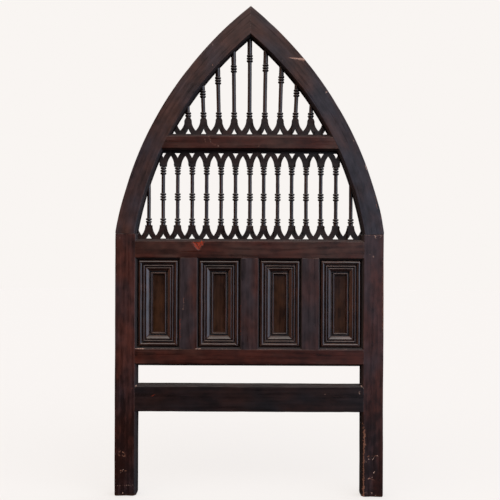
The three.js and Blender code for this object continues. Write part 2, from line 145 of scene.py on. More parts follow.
@dataclass
class Layout:
    """The sizes that the sub-assemblies share, and the planes and heights worked out from them."""

    width: float = 1070
    thickness: float = 50
    arch_rise: float = 910
    post_face: float = 78
    chamfer: float = 9
    muntin_face: float = 66
    muntin_chamfer: float = 5
    floor_gap: float = 337
    bottom_rail: float = 96.5
    slot: float = 95
    panel_rail: float = 56
    panel_opening: float = 366
    middle_rail: float = 64.5
    post_rise: float = 30
    gallery: float = 373
    cross_rail: float = 45
    panels: int = 4
    joint: float = 0.4
    outer_radius: float = 1498
    inner_radius: float = 1323
    inner_start: float = 4
    apex_face: float = 119

    def __post_init__(self) -> None:
        """Works out the planes and heights."""
        self.front: float = -self.thickness / 2
        self.back: float = self.thickness / 2
        self.post_outer: float = self.width / 2
        self.face_edge: float = self.width / 2 - self.post_face
        self.post_inner: float = self.face_edge - self.chamfer
        self.bottom_low: float = self.floor_gap
        self.bottom_top: float = self.bottom_low + self.bottom_rail
        self.panel_low: float = self.bottom_top + self.slot
        self.panel_top: float = self.panel_low + self.panel_rail
        self.middle_low: float = self.panel_top + self.panel_opening
        self.middle_top: float = self.middle_low + self.middle_rail
        self.shoulder: float = self.middle_top + self.post_rise
        self.apex: float = self.shoulder + self.arch_rise
        self.cross_low: float = self.middle_top + self.gallery
        self.cross_top: float = self.cross_low + self.cross_rail
        self.muntin_width: float = self.muntin_face + 2 * self.muntin_chamfer
        muntins = (self.panels - 1) * self.muntin_width
        self.clear_width: float = (2 * self.post_inner - muntins) / self.panels
        self.clear_height: float = self.panel_opening - 2 * self.chamfer
        self.pitch: float = self.clear_width + self.muntin_width
        self.panel_middle: float = self.panel_top + self.panel_opening / 2
        self.outer_arc: Arc = Arc.through(self.post_outer, self.shoulder, self.apex, self.outer_radius)
        start, crown = self.post_inner + self.inner_start, self.apex - self.apex_face
        self.inner_arc: Arc = Arc.through(start, self.shoulder, crown, self.inner_radius)


LAYOUT = Layout()


@dataclass(frozen=True)
class Waves:
    """Smooth unevenness: a sum of sine waves whose directions, lengths and phases come from a seed."""

    seed: int
    length: float
    count: int = 9

    def at(self, *coordinates: Array) -> Array:
        """The height of the sum at points, about -2 to 2.

        Args:
            coordinates: one array for each axis, in millimetres.

        Returns:
            An array of the same shape.
        """
        rng = np.random.default_rng(self.seed)
        ways = rng.normal(size=(self.count, len(coordinates)))
        ways *= 2 * np.pi / self.length / np.linalg.norm(ways, axis=1, keepdims=True)
        ways *= rng.uniform(0.6, 1.7, (self.count, 1))
        phase = rng.uniform(0, 2 * np.pi, self.count)
        place = np.stack(np.broadcast_arrays(*coordinates), -1)
        return np.sin(place @ ways.T + phase).sum(-1) / np.sqrt(self.count / 2)


def smooth_step(low: float, high: float, value: Array) -> Array:
    """Rises from 0 at low to 1 at high along the cubic 3t^2 - 2t^3."""
    share = np.clip((value - low) / (high - low), 0, 1)
    return share * share * (3 - 2 * share)


@dataclass(frozen=True)
class FrontStroke:
    """A tapered stroke of wear, of painted highlight or of painted shade in the plane of the front, from a
    start to an end.
    """

    kind: Mark
    start: tuple[float, float]
    end: tuple[float, float]
    width: float
    end_width: float
    strength: float = 1.0
    ragged: float = 1.2

    def at(self, x: Array, z: Array) -> Array:
        """How strongly the mark covers each point: full on its line, and less from half a width away from it.

        The line wanders by two waves, so that the mark is ragged, and its start is cut off square.

        Args:
            x: distances to the right.
            z: heights.

        Returns:
            A share for each point.
        """
        a, b = np.array(self.start), np.array(self.end)
        along = b - a
        wander = self.ragged * np.stack([Waves(7, 13).at(x, z), Waves(8, 13).at(x, z)], -1)
        place = np.stack([x, z], -1) + wander - a
        run = place @ along / max(along @ along, 1e-6)
        share = np.clip(run, 0, 1)
        away = np.linalg.norm(place - share[..., None] * along, axis=-1)
        width = self.width + share * (self.end_width - self.width)
        long = np.hypot(*along)
        return self.strength * np.clip(1.5 - away / width, 0, 1) * (run * long > -2)


def stroke(kind: Mark, x0: float, z0: float, x1: float, z1: float, width: float = 3.0,
           end_width: float | None = None, strength: float = 1.0, ragged: float = 1.2) -> FrontStroke:
    """A mark from its two ends, as wide at the end as at the start unless told."""
    end_width = width if end_width is None else end_width
    return FrontStroke(kind, (x0, z0), (x1, z1), 0.6 * width, 0.6 * end_width, strength, ragged)


def strokes(kind: Mark, *rows: tuple[float, ...]) -> list[FrontStroke]:
    """Marks of one kind, each from the numbers that a stroke takes."""
    return [stroke(kind, *row) for row in rows]


CHIP = stroke(Mark.FRESH, -205, 1012, -203, 981, 42, 3)
MARKS: tuple[FrontStroke, ...] = (
    # The chip in the middle rail, with painted shade on its two sides, spots of painted shade in the hole at
    # the apex and at the thin end of the split, and the split in the right arch.
    CHIP,
    *strokes(Mark.DARK, (-214, 1008, -203, 993, 2.6), (-203, 993, -193, 1007, 2.6), (-2, 1838, -2, 1832, 3.5),
             (126, 1742, 118, 1741, 2.0)),
    *strokes(Mark.BARE, (152, 1749, 211, 1742, 2.0, 10, 1.0, 0.5)),
    *strokes(Mark.PALE, (158, 1748, 212, 1743, 2.0, 5.0, 1.0, 0.4), (131, 1742, 127, 1741, 1.3)),
    # Nicks along the arches and the cross rail.
    *strokes(Mark.BARE, (-151, 1721, -149, 1716, 1.8, 1.2, 0.9), (-126, 1728, -125, 1722, 1.8, 1.2, 0.9),
             (351, 1556, 366, 1532, 2.6, 2.6, 0.9), (498, 1212, 508, 1150, 2.0, 2.0, 0.7),
             (-185, 1432, -176, 1411, 1.3, 1.3, 0.8), (-165, 1434, -158, 1416, 1.2, 1.2, 0.85),
             (-151, 1405, -137, 1397, 1.4, 1.4, 0.85), (34, 1400, 34, 1396, 1.6, 1.4, 0.8)),
    *strokes(Mark.PALE, (-151, 1801, -150, 1797, 1.4, 1.2, 0.8), (303, 1615, 305, 1611, 2.0),
             (413, 1424, 416, 1416, 2.0), (461, 1322, 464, 1308, 2.2, 1.6, 0.9), (487, 1247, 489, 1238, 2.0),
             (-158, 1416, -151, 1405, 1.0, 1.0, 0.8), (-126, 1399, -126, 1394, 2.0, 1.8)),
    # Wear about the shoulders and down the right post, and a painted highlight down the left post's chamfer
    # just above the middle rail.
    *strokes(Mark.BARE, (459, 1042, 531, 1043, 2.0, 2.0, 0.6), (521, 1136, 524, 1108, 2.4, 2.0, 0.8),
             (533, 940, 533, 660, 3.0, 3.0, 0.75), (-482, 1036, -478, 1037, 1.8, 1.5, 0.6)),
    *strokes(Mark.PALE, (499, 1043, 502, 1030, 2.6, 1.6, 0.9), (524, 1043, 520, 1033, 1.8, 1.4, 0.7),
             (522, 1092, 524, 1054, 1.6, 1.4, 0.45), (478, 966, 481, 968, 1.8, 1.6, 0.6),
             (487, 975, 490, 972, 1.8, 1.6, 0.6), (491, 960, 494, 957, 2.4, 2.0),
             (-451, 1060, -451, 1023, 1.6, 1.6, 0.45), (-517, 1030, -515, 1028, 1.7, 1.5, 0.6)),
    # Worn edges of the muntins, and painted highlights as thin pale lines along the chamfers under the
    # panels.
    *strokes(Mark.FRESH, (-276, 705, -276, 630, 2.6, 2.0, 0.7), (-36, 760, -36, 640, 3.2, 2.4, 0.5)),
    *strokes(Mark.BARE, (-262, 790, -262, 745, 2.6, 2.0, 0.6)),
    *strokes(Mark.PALE, (-261, 774, -263, 740, 1.6, 1.0, 0.6), (-454, 588, -420, 587, 1.7, 1.3, 0.85, 0.4),
             (-420, 587, -290, 587, 1.2, 1.0, 0.42, 0.4), (-214, 588, -194, 587, 1.6, 1.3, 0.8, 0.4),
             (-194, 587, -90, 587, 1.3, 1.2, 0.46, 0.4), (42, 587, 148, 587, 1.2, 1.1, 0.45, 0.4),
             (282, 587, 410, 587, 1.2, 1.1, 0.45, 0.4)),
    # Specks on the bottom rail and its joints.
    *strokes(Mark.FRESH, (-386, 399, -374, 406, 3.0, 1.5)),
    *strokes(Mark.BARE, (-467, 430, -465, 431, 2.2)),
    *strokes(Mark.PALE, (303, 408, 306, 407, 2.4), (440, 420, 440, 407, 1.6, 1.6, 0.8),
             (438, 451, 456, 433, 1.8, 1.8, 0.9), (-452, 437, -450, 439, 2.2)),
    # The right leg: a bare arris, broken scratches and specks.
    *strokes(Mark.BARE, (457, 205, 456, 105, 2.0, 2.0, 0.6), (457, 294, 460, 262, 2.6, 5.0, 0.85, 2.2),
             (460, 262, 461, 205, 5.5, 6.0, 0.95, 2.4), (460, 205, 458, 100, 4.2, 2.6, 0.8, 1.6),
             (458, 100, 458, 2, 3.0, 7.0, 0.9, 1.8), (473, 161, 480, 164, 2.6, 2.0, 1.0, 0.6),
             (485, 159, 489, 151, 2.2, 1.6, 0.8, 0.6), (489, 162, 493, 164, 2.0, 1.6, 0.7, 0.6),
             (500, 163, 510, 167, 2.0, 2.2, 0.9, 0.6), (478, 73, 484, 73, 6, 5),
             (488, 74, 500, 66, 2.2, 1.5, 0.8)),
    *strokes(Mark.PALE, (467, 142, 470, 141, 2.6, 2.2, 0.8), (475, 152, 481, 150, 2.6, 2.0, 0.9, 0.6),
             (494, 151, 499, 158, 2.6, 1.8, 0.9, 0.6), (512, 167, 517, 161, 2.2, 1.6, 0.8, 0.6),
             (495, 101, 498, 95, 2.4), (501, 101, 498, 95, 2.2), (479, 74, 482, 73, 2.5),
             (493, 79, 494, 79, 2.2), (466, 18, 471, 18, 2.4, 2, 0.8), (489, 17, 494, 16, 2.4, 2, 0.8),
             (505, 6, 511, 5, 2.4, 2, 0.8)),
    # The left leg: broken scratches and specks.
    *strokes(Mark.BARE, (-515, 174, -511, 182, 2.2, 1.8, 0.8), (-519, 168, -513, 160, 2.8, 2.6, 1.0),
             (-504, 177, -492, 165, 2.6, 2.6, 1.0), (-505, 161, -489, 159, 2.4, 2.8, 1.0),
             (-512, 101, -487, 101, 1.9, 1.9, 0.9)),
    *strokes(Mark.PALE, (-501, 103, -498, 105, 2.4, 2.0, 1.0), (-512, 93, -510, 92, 2.6, 2.2, 0.9),
             (-522, 40, -460, 42, 1.2, 1.2, 0.6), (-503, 12, -500, 14, 2.5)),
)


@dataclass(frozen=True)
class Section:
    """A closed section of a bar: its points, and how each moves for a millimetre of rounding."""

    base: Array
    ease: Array
    corner: Array

    @classmethod
    def of(cls, corners: list[tuple[float, float]], spacing: list[float], turns: int = 4) -> "Section":
        """Rounds each corner along a quadratic curve, and divides each edge between the corners.

        A curve's ends lie a tangent's length from the corner, which is the radius times the tangent of half
        the turn, and its pull is the corner itself.

        Args:
            corners: the corners in order.
            spacing: distance between points along the edge that leaves each corner.
            turns: number of steps in each rounding.

        Returns:
            The section.
        """
        place = np.array(corners, float)
        base, ease, corner = [], [], []
        share = np.linspace(0, 1, turns + 1)[:, None]
        for i, here in enumerate(place):
            before, after = here - place[i - 1], place[(i + 1) % len(place)] - here
            long = np.hypot(*after)
            before, after = before / np.hypot(*before), after / long
            tangent = np.tan(np.arccos(np.clip(before @ after, -1, 1)) / 2)
            ease.append(tangent * (share**2 * after - (1 - share) ** 2 * before))
            base.append(np.repeat(here[None], turns + 1, 0))
            corner.append(np.full(turns + 1, i))
            margin = min(4.0, long / 2.5)
            steps = max(int(np.ceil((long - 2 * margin) / spacing[i])), 1)
            run = np.linspace(margin, long - margin, steps + 1)[:, None]
            base.append(here + after * run)
            ease.append(np.zeros((steps + 1, 2)))
            corner.append(np.full(steps + 1, i))
        return cls(np.concatenate(base), np.concatenate(ease), np.concatenate(corner))

    def along(self, run: Array, radius: float, seed: int) -> Array:
        """The section at stations, with a rounding that varies along each arris as a worn one does.

        Args:
            run: the stations' distances.
            radius: middle radius of the rounding.
            seed: seed of the unevenness.

        Returns:
            An array of stations by points by 2.
        """
        swell = Waves(seed, 90).at(run[:, None], 137.0 * self.corner[None])
        return self.base + self.ease * (radius * np.exp(0.28 * swell))[..., None]


@dataclass
class Skin:
    """A closed surface, in millimetres: grid faces and end faces over one list of points."""

    points: Array
    quads: Array
    ends: list[Array]

    @classmethod
    def loft(cls, rings: Array, ease: tuple[float, float] = (0.5, 0.5)) -> "Skin":
        """Joins rings into a tube, with an end face at each end whose arris is eased.

        An eased end has its ring drawn towards its centre, after a full ring set back by the same amount.

        Args:
            rings: stations by points by 3.
            ease: size of the eased arris at the first and the last ring.

        Returns:
            The skin, with its faces outwards.
        """
        first = cls.eased(rings[0], rings[1], ease[0])
        last = cls.eased(rings[-1], rings[-2], ease[1])[::-1]
        reach = np.linalg.norm((rings - rings[0]).mean(1), axis=1)
        between = (reach > 1.4 * ease[0]) & (reach < reach[-1] - 1.4 * ease[1])
        rings = np.concatenate([first, rings[between], last])
        stations, around = rings.shape[:2]
        index = np.arange(stations * around).reshape(stations, around)
        beside = np.roll(index, -1, axis=1)
        quads = np.stack([index[:-1], beside[:-1], beside[1:], index[1:]], -1).reshape(-1, 4)
        skin = cls(rings.reshape(-1, 3), quads, [index[0][::-1], index[-1]])
        return skin if skin.volume() > 0 else cls(skin.points, quads[:, ::-1], [index[0], index[-1][::-1]])

    @staticmethod
    def eased(end: Array, inner: Array, size: float) -> Array:
        """The end ring drawn in, and a full ring set back from it towards the next one.

        Args:
            end: the ring at the end.
            inner: the ring next to it.
            size: size of the eased arris.

        Returns:
            Rings from the end inwards.
        """
        way = (inner - end) / np.maximum(np.linalg.norm(inner - end, axis=1, keepdims=True), 1e-6)
        out = end - end.mean(0)
        out = out / np.maximum(np.linalg.norm(out, axis=1, keepdims=True), size * 1.5)
        turn = np.linspace(0, np.pi / 2, 4 if size > 1 else 2)
        return np.stack([end - size * ((1 - np.sin(t)) * out - (1 - np.cos(t)) * way) for t in turn])

    def volume(self) -> float:
        """The volume inside the grid faces, as a sum of signed tetrahedra from the middle of the points."""
        a, b, c, d = (self.points[self.quads[:, k]] - self.points.mean(0) for k in range(4))
        return float(((np.cross(a, b) * c).sum() + (np.cross(a, c) * d).sum()) / 6)

    def mesh(self, name: str) -> bpy.types.Mesh:
        """The skin as a Blender mesh, in metres.

        Args:
            name: name of the mesh.

        Returns:
            The mesh.
        """
        sizes = np.concatenate([np.full(len(self.quads), 4), [len(end) for end in self.ends]]).astype(int)
        corners = np.concatenate([self.quads.ravel(), *self.ends]).astype(np.int32)
        mesh = bpy.data.meshes.new(name)
        mesh.vertices.add(len(self.points))
        mesh.vertices.foreach_set("co", (self.points * MM).astype(np.float32).ravel())
        mesh.loops.add(len(corners))
        mesh.loops.foreach_set("vertex_index", corners)
        mesh.polygons.add(len(sizes))
        mesh.polygons.foreach_set("loop_start", (np.cumsum(sizes) - sizes).astype(np.int32))
        mesh.update(calc_edges=True)
        return mesh


def uneven(points: Array, seed: int, amount: float, length: float) -> Array:
    """Moves points by three smooth waves, one for each axis, as hand work and movement of the timber do.

    Args:
        points: places, with the axes last.
        seed: seed of the waves.
        amount: middle height of the waves.
        length: length of the waves.

    Returns:
        The moved points.
    """
    axes = points[..., 0], points[..., 1], points[..., 2]
    waves = (Waves(seed + k, length).at(*axes) for k in range(3))
    return points + amount * np.stack(list(waves), -1)


def grain_level(points: Array) -> Array:
    """The place in the timber of a level piece: along X, across Z, and deep in Y."""
    return points[:, [0, 2, 1]]


def grain_upright(points: Array) -> Array:
    """The place in the timber of an upright piece: along Z, across X, and deep in Y."""
    return points[:, [2, 0, 1]]


def grain_arch(points: Array) -> Array:
    """The place in the timber of an arch member: along its curve, across it, and deep in Y.

    Args:
        points: rows of (x, y, z) in millimetres.

    Returns:
        Rows of places along, across and deep.
    """
    arc = LAYOUT.inner_arc
    x, z = np.abs(points[:, 0]) - arc.x, points[:, 2] - arc.z
    return np.stack([arc.radius * np.arctan2(z, x), np.hypot(x, z), points[:, 1]], 1)


def shade_behind_faces(points: Array) -> Array:
    """Painted shade on the chamfers and inner edges of the openings: none on a face, most from 5 mm behind
    it, and more by the panels.

    Args:
        points: rows of (x, y, z) in millimetres.

    Returns:
        A share for each point.
    """
    at = LAYOUT
    x, y, z = points.T
    beside = smooth_step(at.panel_top - 12, at.panel_top - 4, z)
    beside = beside * smooth_step(at.middle_low + 12, at.middle_low + 4, z)
    arc = at.inner_arc
    within = np.hypot(np.abs(x) - arc.x, z - arc.z) < arc.radius + 15
    inside = (np.abs(x) < at.post_outer - 20) & (within | (z < at.shoulder))
    behind = smooth_step(at.front + 0.4, at.front + 2.6, y) * smooth_step(at.back - 0.5, at.back - 4, y)
    return (0.7 + 0.25 * beside) * inside * behind


def off_the_joints(points: Array) -> Array:
    """Nothing on the mitre or the shoulder joints, and all from 8 mm beside them."""
    from_shoulder = np.abs(points[:, 2] - LAYOUT.shoulder)
    return smooth_step(1, 8, np.abs(points[:, 0])) * smooth_step(1.5, 8, from_shoulder)


def bulge(mesh: bpy.types.Mesh, points: Array) -> Array:
    """How far each point stands out from its neighbours' middle along its normal, over their distance.

    Args:
        mesh: the mesh.
        points: rows of (x, y, z) in millimetres.

    Returns:
        A share for each point, below 0 in a hollow.
    """
    ends = np.empty(len(mesh.edges) * 2, np.int32)
    mesh.edges.foreach_get("vertices", ends)
    a, b = ends.reshape(-1, 2).T
    normals = np.empty(len(points) * 3, np.float32)
    mesh.vertex_normals.foreach_get("vector", normals)
    step = points[b] - points[a]
    count = len(points)
    pull = [np.bincount(a, along, count) - np.bincount(b, along, count) for along in step.T]
    length = np.linalg.norm(step, axis=1)
    reach = np.bincount(a, length, count) + np.bincount(b, length, count)
    return -(np.stack(pull, 1) * normals.reshape(-1, 3)).sum(1) / np.maximum(reach, 1e-6)


def nowhere(points: Array) -> Array:
    """A share of 0 at every point."""
    return np.zeros(len(points))


def everywhere(points: Array) -> Array:
    """A share of 1 at every point."""
    return np.ones(len(points))


@dataclass(frozen=True)
class Dressing:
    """What turns a mesh into a finished piece: its node, slot, grain, tone, wear and painted shade."""

    node: str
    slot: Slot
    grain: Callable[[Array], Array]
    seed: int
    rub: float = 1.0
    warmth: float = 0.5
    warm_side: float = 0.0
    warm_up: float = 0.0
    shade: float = 0.0
    shade_low: float = 0.0
    # Painted shade that darkens the piece besides its hollows.
    shade_paint: Callable[[Array], Array] = nowhere
    handled: Callable[[Array], Array] = everywhere

    def finish(self, mesh: bpy.types.Mesh) -> bpy.types.Object:
        """Makes the piece, gives each of its points the attributes that its wood reads, and registers it.

        A point is rubbed where the surface bulges, in patches, and darkened by painted shade where it is
        hollow. Its warmth leans from side to side and from bottom to top, and both warmth and shade drift by
        slow waves.

        Args:
            mesh: the finished mesh, in metres.

        Returns:
            The piece.
        """
        points = np.empty(len(mesh.vertices) * 3, np.float32)
        mesh.vertices.foreach_get("co", points)
        points = points.reshape(-1, 3).astype(float) / MM
        x, y, z = points.T
        rng = np.random.default_rng(self.seed)
        grain = (self.grain(points) + rng.uniform(-TIMBER_SHIFT, TIMBER_SHIFT, 3)) * MM
        out = bulge(mesh, points)
        patchy = 0.45 + 0.45 * Waves(self.seed, RUB_LENGTH).at(x, y, z)
        rub = self.rub * smooth_step(0.01, 0.07, out) * np.clip(patchy, 0, 1.4) * self.handled(points)
        middle = (x.max() + x.min()) / 2
        half = max((x.max() - x.min()) / 2, 1)
        warmth = self.warmth + self.warm_side * (x - middle) / half
        warmth = warmth + 0.16 * Waves(self.seed + 5, WARMTH_LENGTH).at(x, z)
        warmth += self.warm_up * (2 * (z - z.min()) / np.ptp(z) - 1)
        low = smooth_step(LEGS_LIGHT, LEGS_DARK, z) * self.shade_low
        shade = self.shade + low + 0.10 * Waves(self.seed + 6, SHADE_LENGTH).at(x, z)
        # Painted shade: the hollows darken, and so do the places that the piece's extra painted shade is
        # given for.
        grime = np.maximum(smooth_step(0.015, 0.12, -out), self.shade_paint(points))
        faces = y < LAYOUT.front + FRONT_DEPTH
        values = {"rub": rub, "warmth": warmth, "shade": shade, "grime": grime}
        for kind in Mark:
            found = [mark.at(x, z) for mark in MARKS if mark.kind is kind]
            values[kind.value] = np.where(faces, np.max(found, axis=0), 0)
        return self.register(mesh, grain, values)

    def register(self, mesh: bpy.types.Mesh, grain: Array, values: dict[str, Array]) -> bpy.types.Object:
        """Writes the attributes, shades the mesh, gives it the wood of its slot, hangs it under the root body
        and hides the solid that it stands for.

        Args:
            mesh: the finished mesh.
            grain: places in the timber, in metres.
            values: a value of each point for each attribute's name.

        Returns:
            The piece.
        """
        made = mesh.attributes.new("grain", "FLOAT_VECTOR", "POINT")
        made.data.foreach_set("vector", grain.astype(np.float32).ravel())
        for name, value in values.items():
            made = mesh.attributes.new(name, "FLOAT", "POINT")
            made.data.foreach_set("value", value.astype(np.float32))
        mesh.shade_smooth()
        mesh.set_sharp_from_angle(angle=np.radians(SHARP_TURN))
        piece = bpy.data.objects.new(f"worn_{self.node}", mesh)
        bpy.context.scene.collection.objects.link(piece)
        mesh.materials.append(wood_of(self.slot))
        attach(piece, "root")
        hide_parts(self.node)
        log.info("%s: %d points", self.node, len(mesh.vertices))
        return piece


def linear(colour: str) -> tuple[float, float, float, float]:
    """Turns an sRGB hex colour to linear: v/12.92 up to 0.04045, and above it ((v + 0.055)/1.055)^2.4.

    Args:
        colour: the colour, as # and six digits.

    Returns:
        Its red, green and blue, and an alpha of 1.
    """
    value = np.array([int(colour[k:k + 2], 16) for k in (1, 3, 5)]) / 255
    value = np.where(value <= 0.04045, value / 12.92, ((value + 0.055) / 1.055) ** 2.4)
    return (*map(float, value), 1.0)


def add_node(tree: bpy.types.NodeTree, kind: str, settings: dict | None = None,
             inputs: dict | None = None) -> bpy.types.Node:
    """Adds a node with its settings, and links or sets its inputs.

    Args:
        tree: the node tree.
        kind: the node's type name.
        settings: properties of the node.
        inputs: a socket to link from, or a value, for each input's name or number.

    Returns:
        The node.
    """
    node = tree.nodes.new(kind)
    for name, value in (settings or {}).items():
        setattr(node, name, value)
    for key, value in (inputs or {}).items():
        if isinstance(value, bpy.types.NodeSocket):
            tree.links.new(value, node.inputs[key])
        else:
            node.inputs[key].default_value = value
    return node


class Step(Enum):
    """How a material joins values: the node, its settings, the inputs that take them, and the output."""

    RANGE = ("ShaderNodeMapRange", {}, (0, 1, 2, 3, 4), 0)
    ADD = ("ShaderNodeMath", {"operation": "ADD"}, (0, 1), 0)
    LESS = ("ShaderNodeMath", {"operation": "SUBTRACT"}, (0, 1), 0)
    TIMES = ("ShaderNodeMath", {"operation": "MULTIPLY"}, (0, 1), 0)
    MOST = ("ShaderNodeMath", {"operation": "MAXIMUM"}, (0, 1), 0)
    MIX = ("ShaderNodeMix", {"data_type": "RGBA"}, (0, 6, 7), 2)
    TINT = ("ShaderNodeMix", {"data_type": "RGBA", "blend_type": "MULTIPLY"}, (0, 6, 7), 2)


@dataclass(frozen=True)
class StainedWood:
    """Fine-grained hardwood under a dark stain and an old rubbed wax, in the tone of one kind of member.

    The stain leaves long soft streaks, the wax gives a satin sheen, and rubbed arrises show the brown below.
    """

    name: str
    cool: str
    warm: str
    rubbed: str = "#7d5a44"
    fresh: str = "#a83204"
    bare: str = "#825642"
    # Pale scuffs, and the painted highlights drawn in the same colour.
    pale: str = "#ba9786"
    # Near-black of the spots of painted shade.
    dark: str = "#0a0605"
    crack: str = "#4a1405"
    # Near-black of the painted shade in hollows, on chamfers and about the beads.
    shade_paint: str = "#0a0505"
    figure: float = 0.42
    fibre: float = 0.42
    cloud: float = 0.6
    roughness: float = 0.3
    gloss: float = 0.5

    def steps(self) -> list[tuple]:
        """The steps from the piece's attributes and patterns to its colour, roughness and relief.

        The stain runs from cool to warm, and the streaks, fibres and clouds darken or lighten it. Painted
        shade, rubbed arrises and the four kinds of marks then lie over it in turn; the marks hold painted
        shade and painted highlights as well as wear. Painted shade and scuffs dull the wax.

        Returns:
            Rows of the result's name, the step, and its inputs: numbers, colours or names of results.
        """
        rows = [
            ("patch", Step.RANGE, "patch", 0.3, 0.7, -0.5, 0.5),
            ("warmth", Step.ADD, "warmth", "patch"),
            ("warmth", Step.RANGE, "warmth", 0, 1, 0, 1),
            ("colour", Step.MIX, "warmth", linear(self.cool), linear(self.warm)),
            ("streaks", Step.RANGE, "figure", 0.3, 0.7, self.figure, -self.figure),
            ("lines", Step.RANGE, "fibre", 0.3, 0.7, self.fibre, -self.fibre),
            ("clouds", Step.RANGE, "cloud", 0.3, 0.7, self.cloud, -self.cloud),
            ("darkness", Step.ADD, "streaks", "lines"),
            ("darkness", Step.ADD, "darkness", "clouds"),
            ("darkness", Step.ADD, "darkness", "shade"),
            ("light", Step.RANGE, "darkness", -1, 1, 1.7, 0.3),
            ("colour", Step.TINT, 1.0, "colour", "light"),
            # Painted shade: the colour darkens towards near-black in hollows, on chamfers and about the
            # spindles' beads.
            ("grime", Step.RANGE, "grime", 0, 1, 0, 0.92),
            ("colour", Step.MIX, "grime", "colour", linear(self.shade_paint)),
            ("speckle", Step.RANGE, "speck", 0.35, 0.65, 0.6, 1.1),
            ("rub", Step.TIMES, "rub", "speckle"),
            ("rub", Step.RANGE, "rub", 0, 1, 0, 0.6),
            ("colour", Step.MIX, "rub", "colour", linear(self.rubbed)),
            ("ragged", Step.RANGE, "speck", 0.3, 0.7, -0.3, 0.3),
            ("split", Step.RANGE, "split", 0.42, 0.62, 0, 1),
            ("fresh_wood", Step.MIX, "split", linear(self.fresh), linear(self.crack)),
        ]
        tones = {Mark.FRESH: "fresh_wood", Mark.BARE: linear(self.bare), Mark.PALE: linear(self.pale),
                 Mark.DARK: linear(self.dark)}
        # The dark marks are painted shade, and some of the pale ones are painted highlights.
        for kind, tone in tones.items():
            share = kind.value
            rows += [(share, Step.ADD, share, "ragged"), (share, Step.RANGE, share, 0.4, 0.65, 0, 0.92),
                     ("colour", Step.MIX, share, "colour", tone)]
        smoothest, dullest = self.roughness - 0.07, self.roughness + 0.09
        return rows + [
            # Scuffs, and the painted highlights among the pale marks, dull the wax and lower the relief.
            ("scuffed", Step.MOST, "fresh", "bare"),
            ("scuffed", Step.MOST, "scuffed", "pale"),
            ("rough", Step.RANGE, "figure", 0.2, 0.8, smoothest, dullest),
            ("dulled", Step.TIMES, "scuffed", 0.25),
            ("rough", Step.ADD, "rough", "dulled"),
            # Painted shade also makes the wax duller, so that the shaded places reflect less.
            ("dusty", Step.TIMES, "grime", 0.4),
            ("rough", Step.ADD, "rough", "dusty"),
            ("relief", Step.TIMES, "fibre", 0.5),
            ("relief", Step.LESS, "relief", "scuffed"),
        ]

    def material(self) -> bpy.types.Material:
        """Builds the material. Every pattern reads the piece's own place in its timber, in metres.

        Returns:
            The material.
        """
        made = bpy.data.materials.new(self.name)
        made.use_nodes = True
        tree = made.node_tree
        tree.nodes.clear()
        grain = add_node(tree, "ShaderNodeAttribute", {"attribute_name": "grain"}).outputs["Vector"]
        values = {}
        for name in ("warmth", "shade", "grime", "rub", *(kind.value for kind in Mark)):
            values[name] = add_node(tree, "ShaderNodeAttribute", {"attribute_name": name}).outputs["Fac"]
        # Cells in each metre along, across and deep, with detail and roughness. Streaks 11 mm wide and 250 mm
        # long are the stain's figure, and fibres 1.2 mm wide are drawn coarser than the real ones to show.
        noises = {"figure": ((4, 90, 90), 3, 0.55), "fibre": ((28, 820, 820), 3, 0.6),
                  "patch": ((7, 16, 16), 3, 0.5), "cloud": ((22, 34, 34), 4, 0.55),
                  "speck": ((330, 420, 420), 2, 0.7), "split": ((500, 60, 60), 3, 0.7)}
        for name, (scale, detail, rough) in noises.items():
            place = add_node(tree, "ShaderNodeMapping", inputs={"Vector": grain, "Scale": scale})
            inputs = {"Vector": place.outputs[0], "Scale": 1.0, "Detail": detail, "Roughness": rough}
            values[name] = add_node(tree, "ShaderNodeTexNoise", inputs=inputs).outputs[0]
        for name, step, *given in self.steps():
            kind, settings, sockets, output = step.value
            inputs = {socket: values[value] if isinstance(value, str) else value
                      for socket, value in zip(sockets, given)}
            values[name] = add_node(tree, kind, settings, inputs).outputs[output]
        inputs = {"Strength": 0.35, "Distance": 0.0006, "Height": values["relief"]}
        bump = add_node(tree, "ShaderNodeBump", inputs=inputs)
        inputs = {"Base Color": values["colour"], "Roughness": values["rough"], "Normal": bump.outputs[0],
                  "IOR": 1.5, "Specular IOR Level": self.gloss}
        shader = add_node(tree, "ShaderNodeBsdfPrincipled", inputs=inputs)
        add_node(tree, "ShaderNodeOutputMaterial", inputs={"Surface": shader.outputs[0]})
        return made


# All are one hardwood under a near-black to red-brown stain. Hands and wax have polished the mouldings and
# spindles, so that their crests shine. The boards behind them are dull, and the stretcher is the blackest.
FINISHES: dict[Slot, StainedWood] = {
    Slot.POST: StainedWood("stained_hardwood_post", "#38292b", "#46241d"),
    Slot.ARCH: StainedWood("stained_hardwood_arch", "#2f2b31", "#422a24"),
    Slot.RAIL: StainedWood("stained_hardwood_rail", "#422d26", "#3c1a12"),
    Slot.STRETCHER: StainedWood("stained_hardwood_stretcher", "#191416", "#251512"),
    Slot.MUNTIN: StainedWood("stained_hardwood_muntin", "#33292b", "#41241e"),
    Slot.MOULDING: StainedWood("waxed_hardwood_moulding", "#251917", "#371f18", rubbed="#8a6a58",
                               roughness=0.17, gloss=1.0),
    Slot.BOARD: StainedWood("waxed_hardwood_board", "#2e1c15", "#3a2213", fibre=0.4, gloss=0.25),
    Slot.FRET: StainedWood("stained_hardwood_fret", "#211817", "#2a1814", rubbed="#5a463c", roughness=0.36,
                           gloss=0.4),
    Slot.SPINDLE: StainedWood("stained_hardwood_spindle", "#241918", "#2c1b17", rubbed="#6b564b",
                              roughness=0.22, gloss=0.8),
}


@cache
def wood_of(slot: Slot) -> bpy.types.Material:
    """The material of a slot, made the first time that it is asked for."""
    return FINISHES[slot].material()


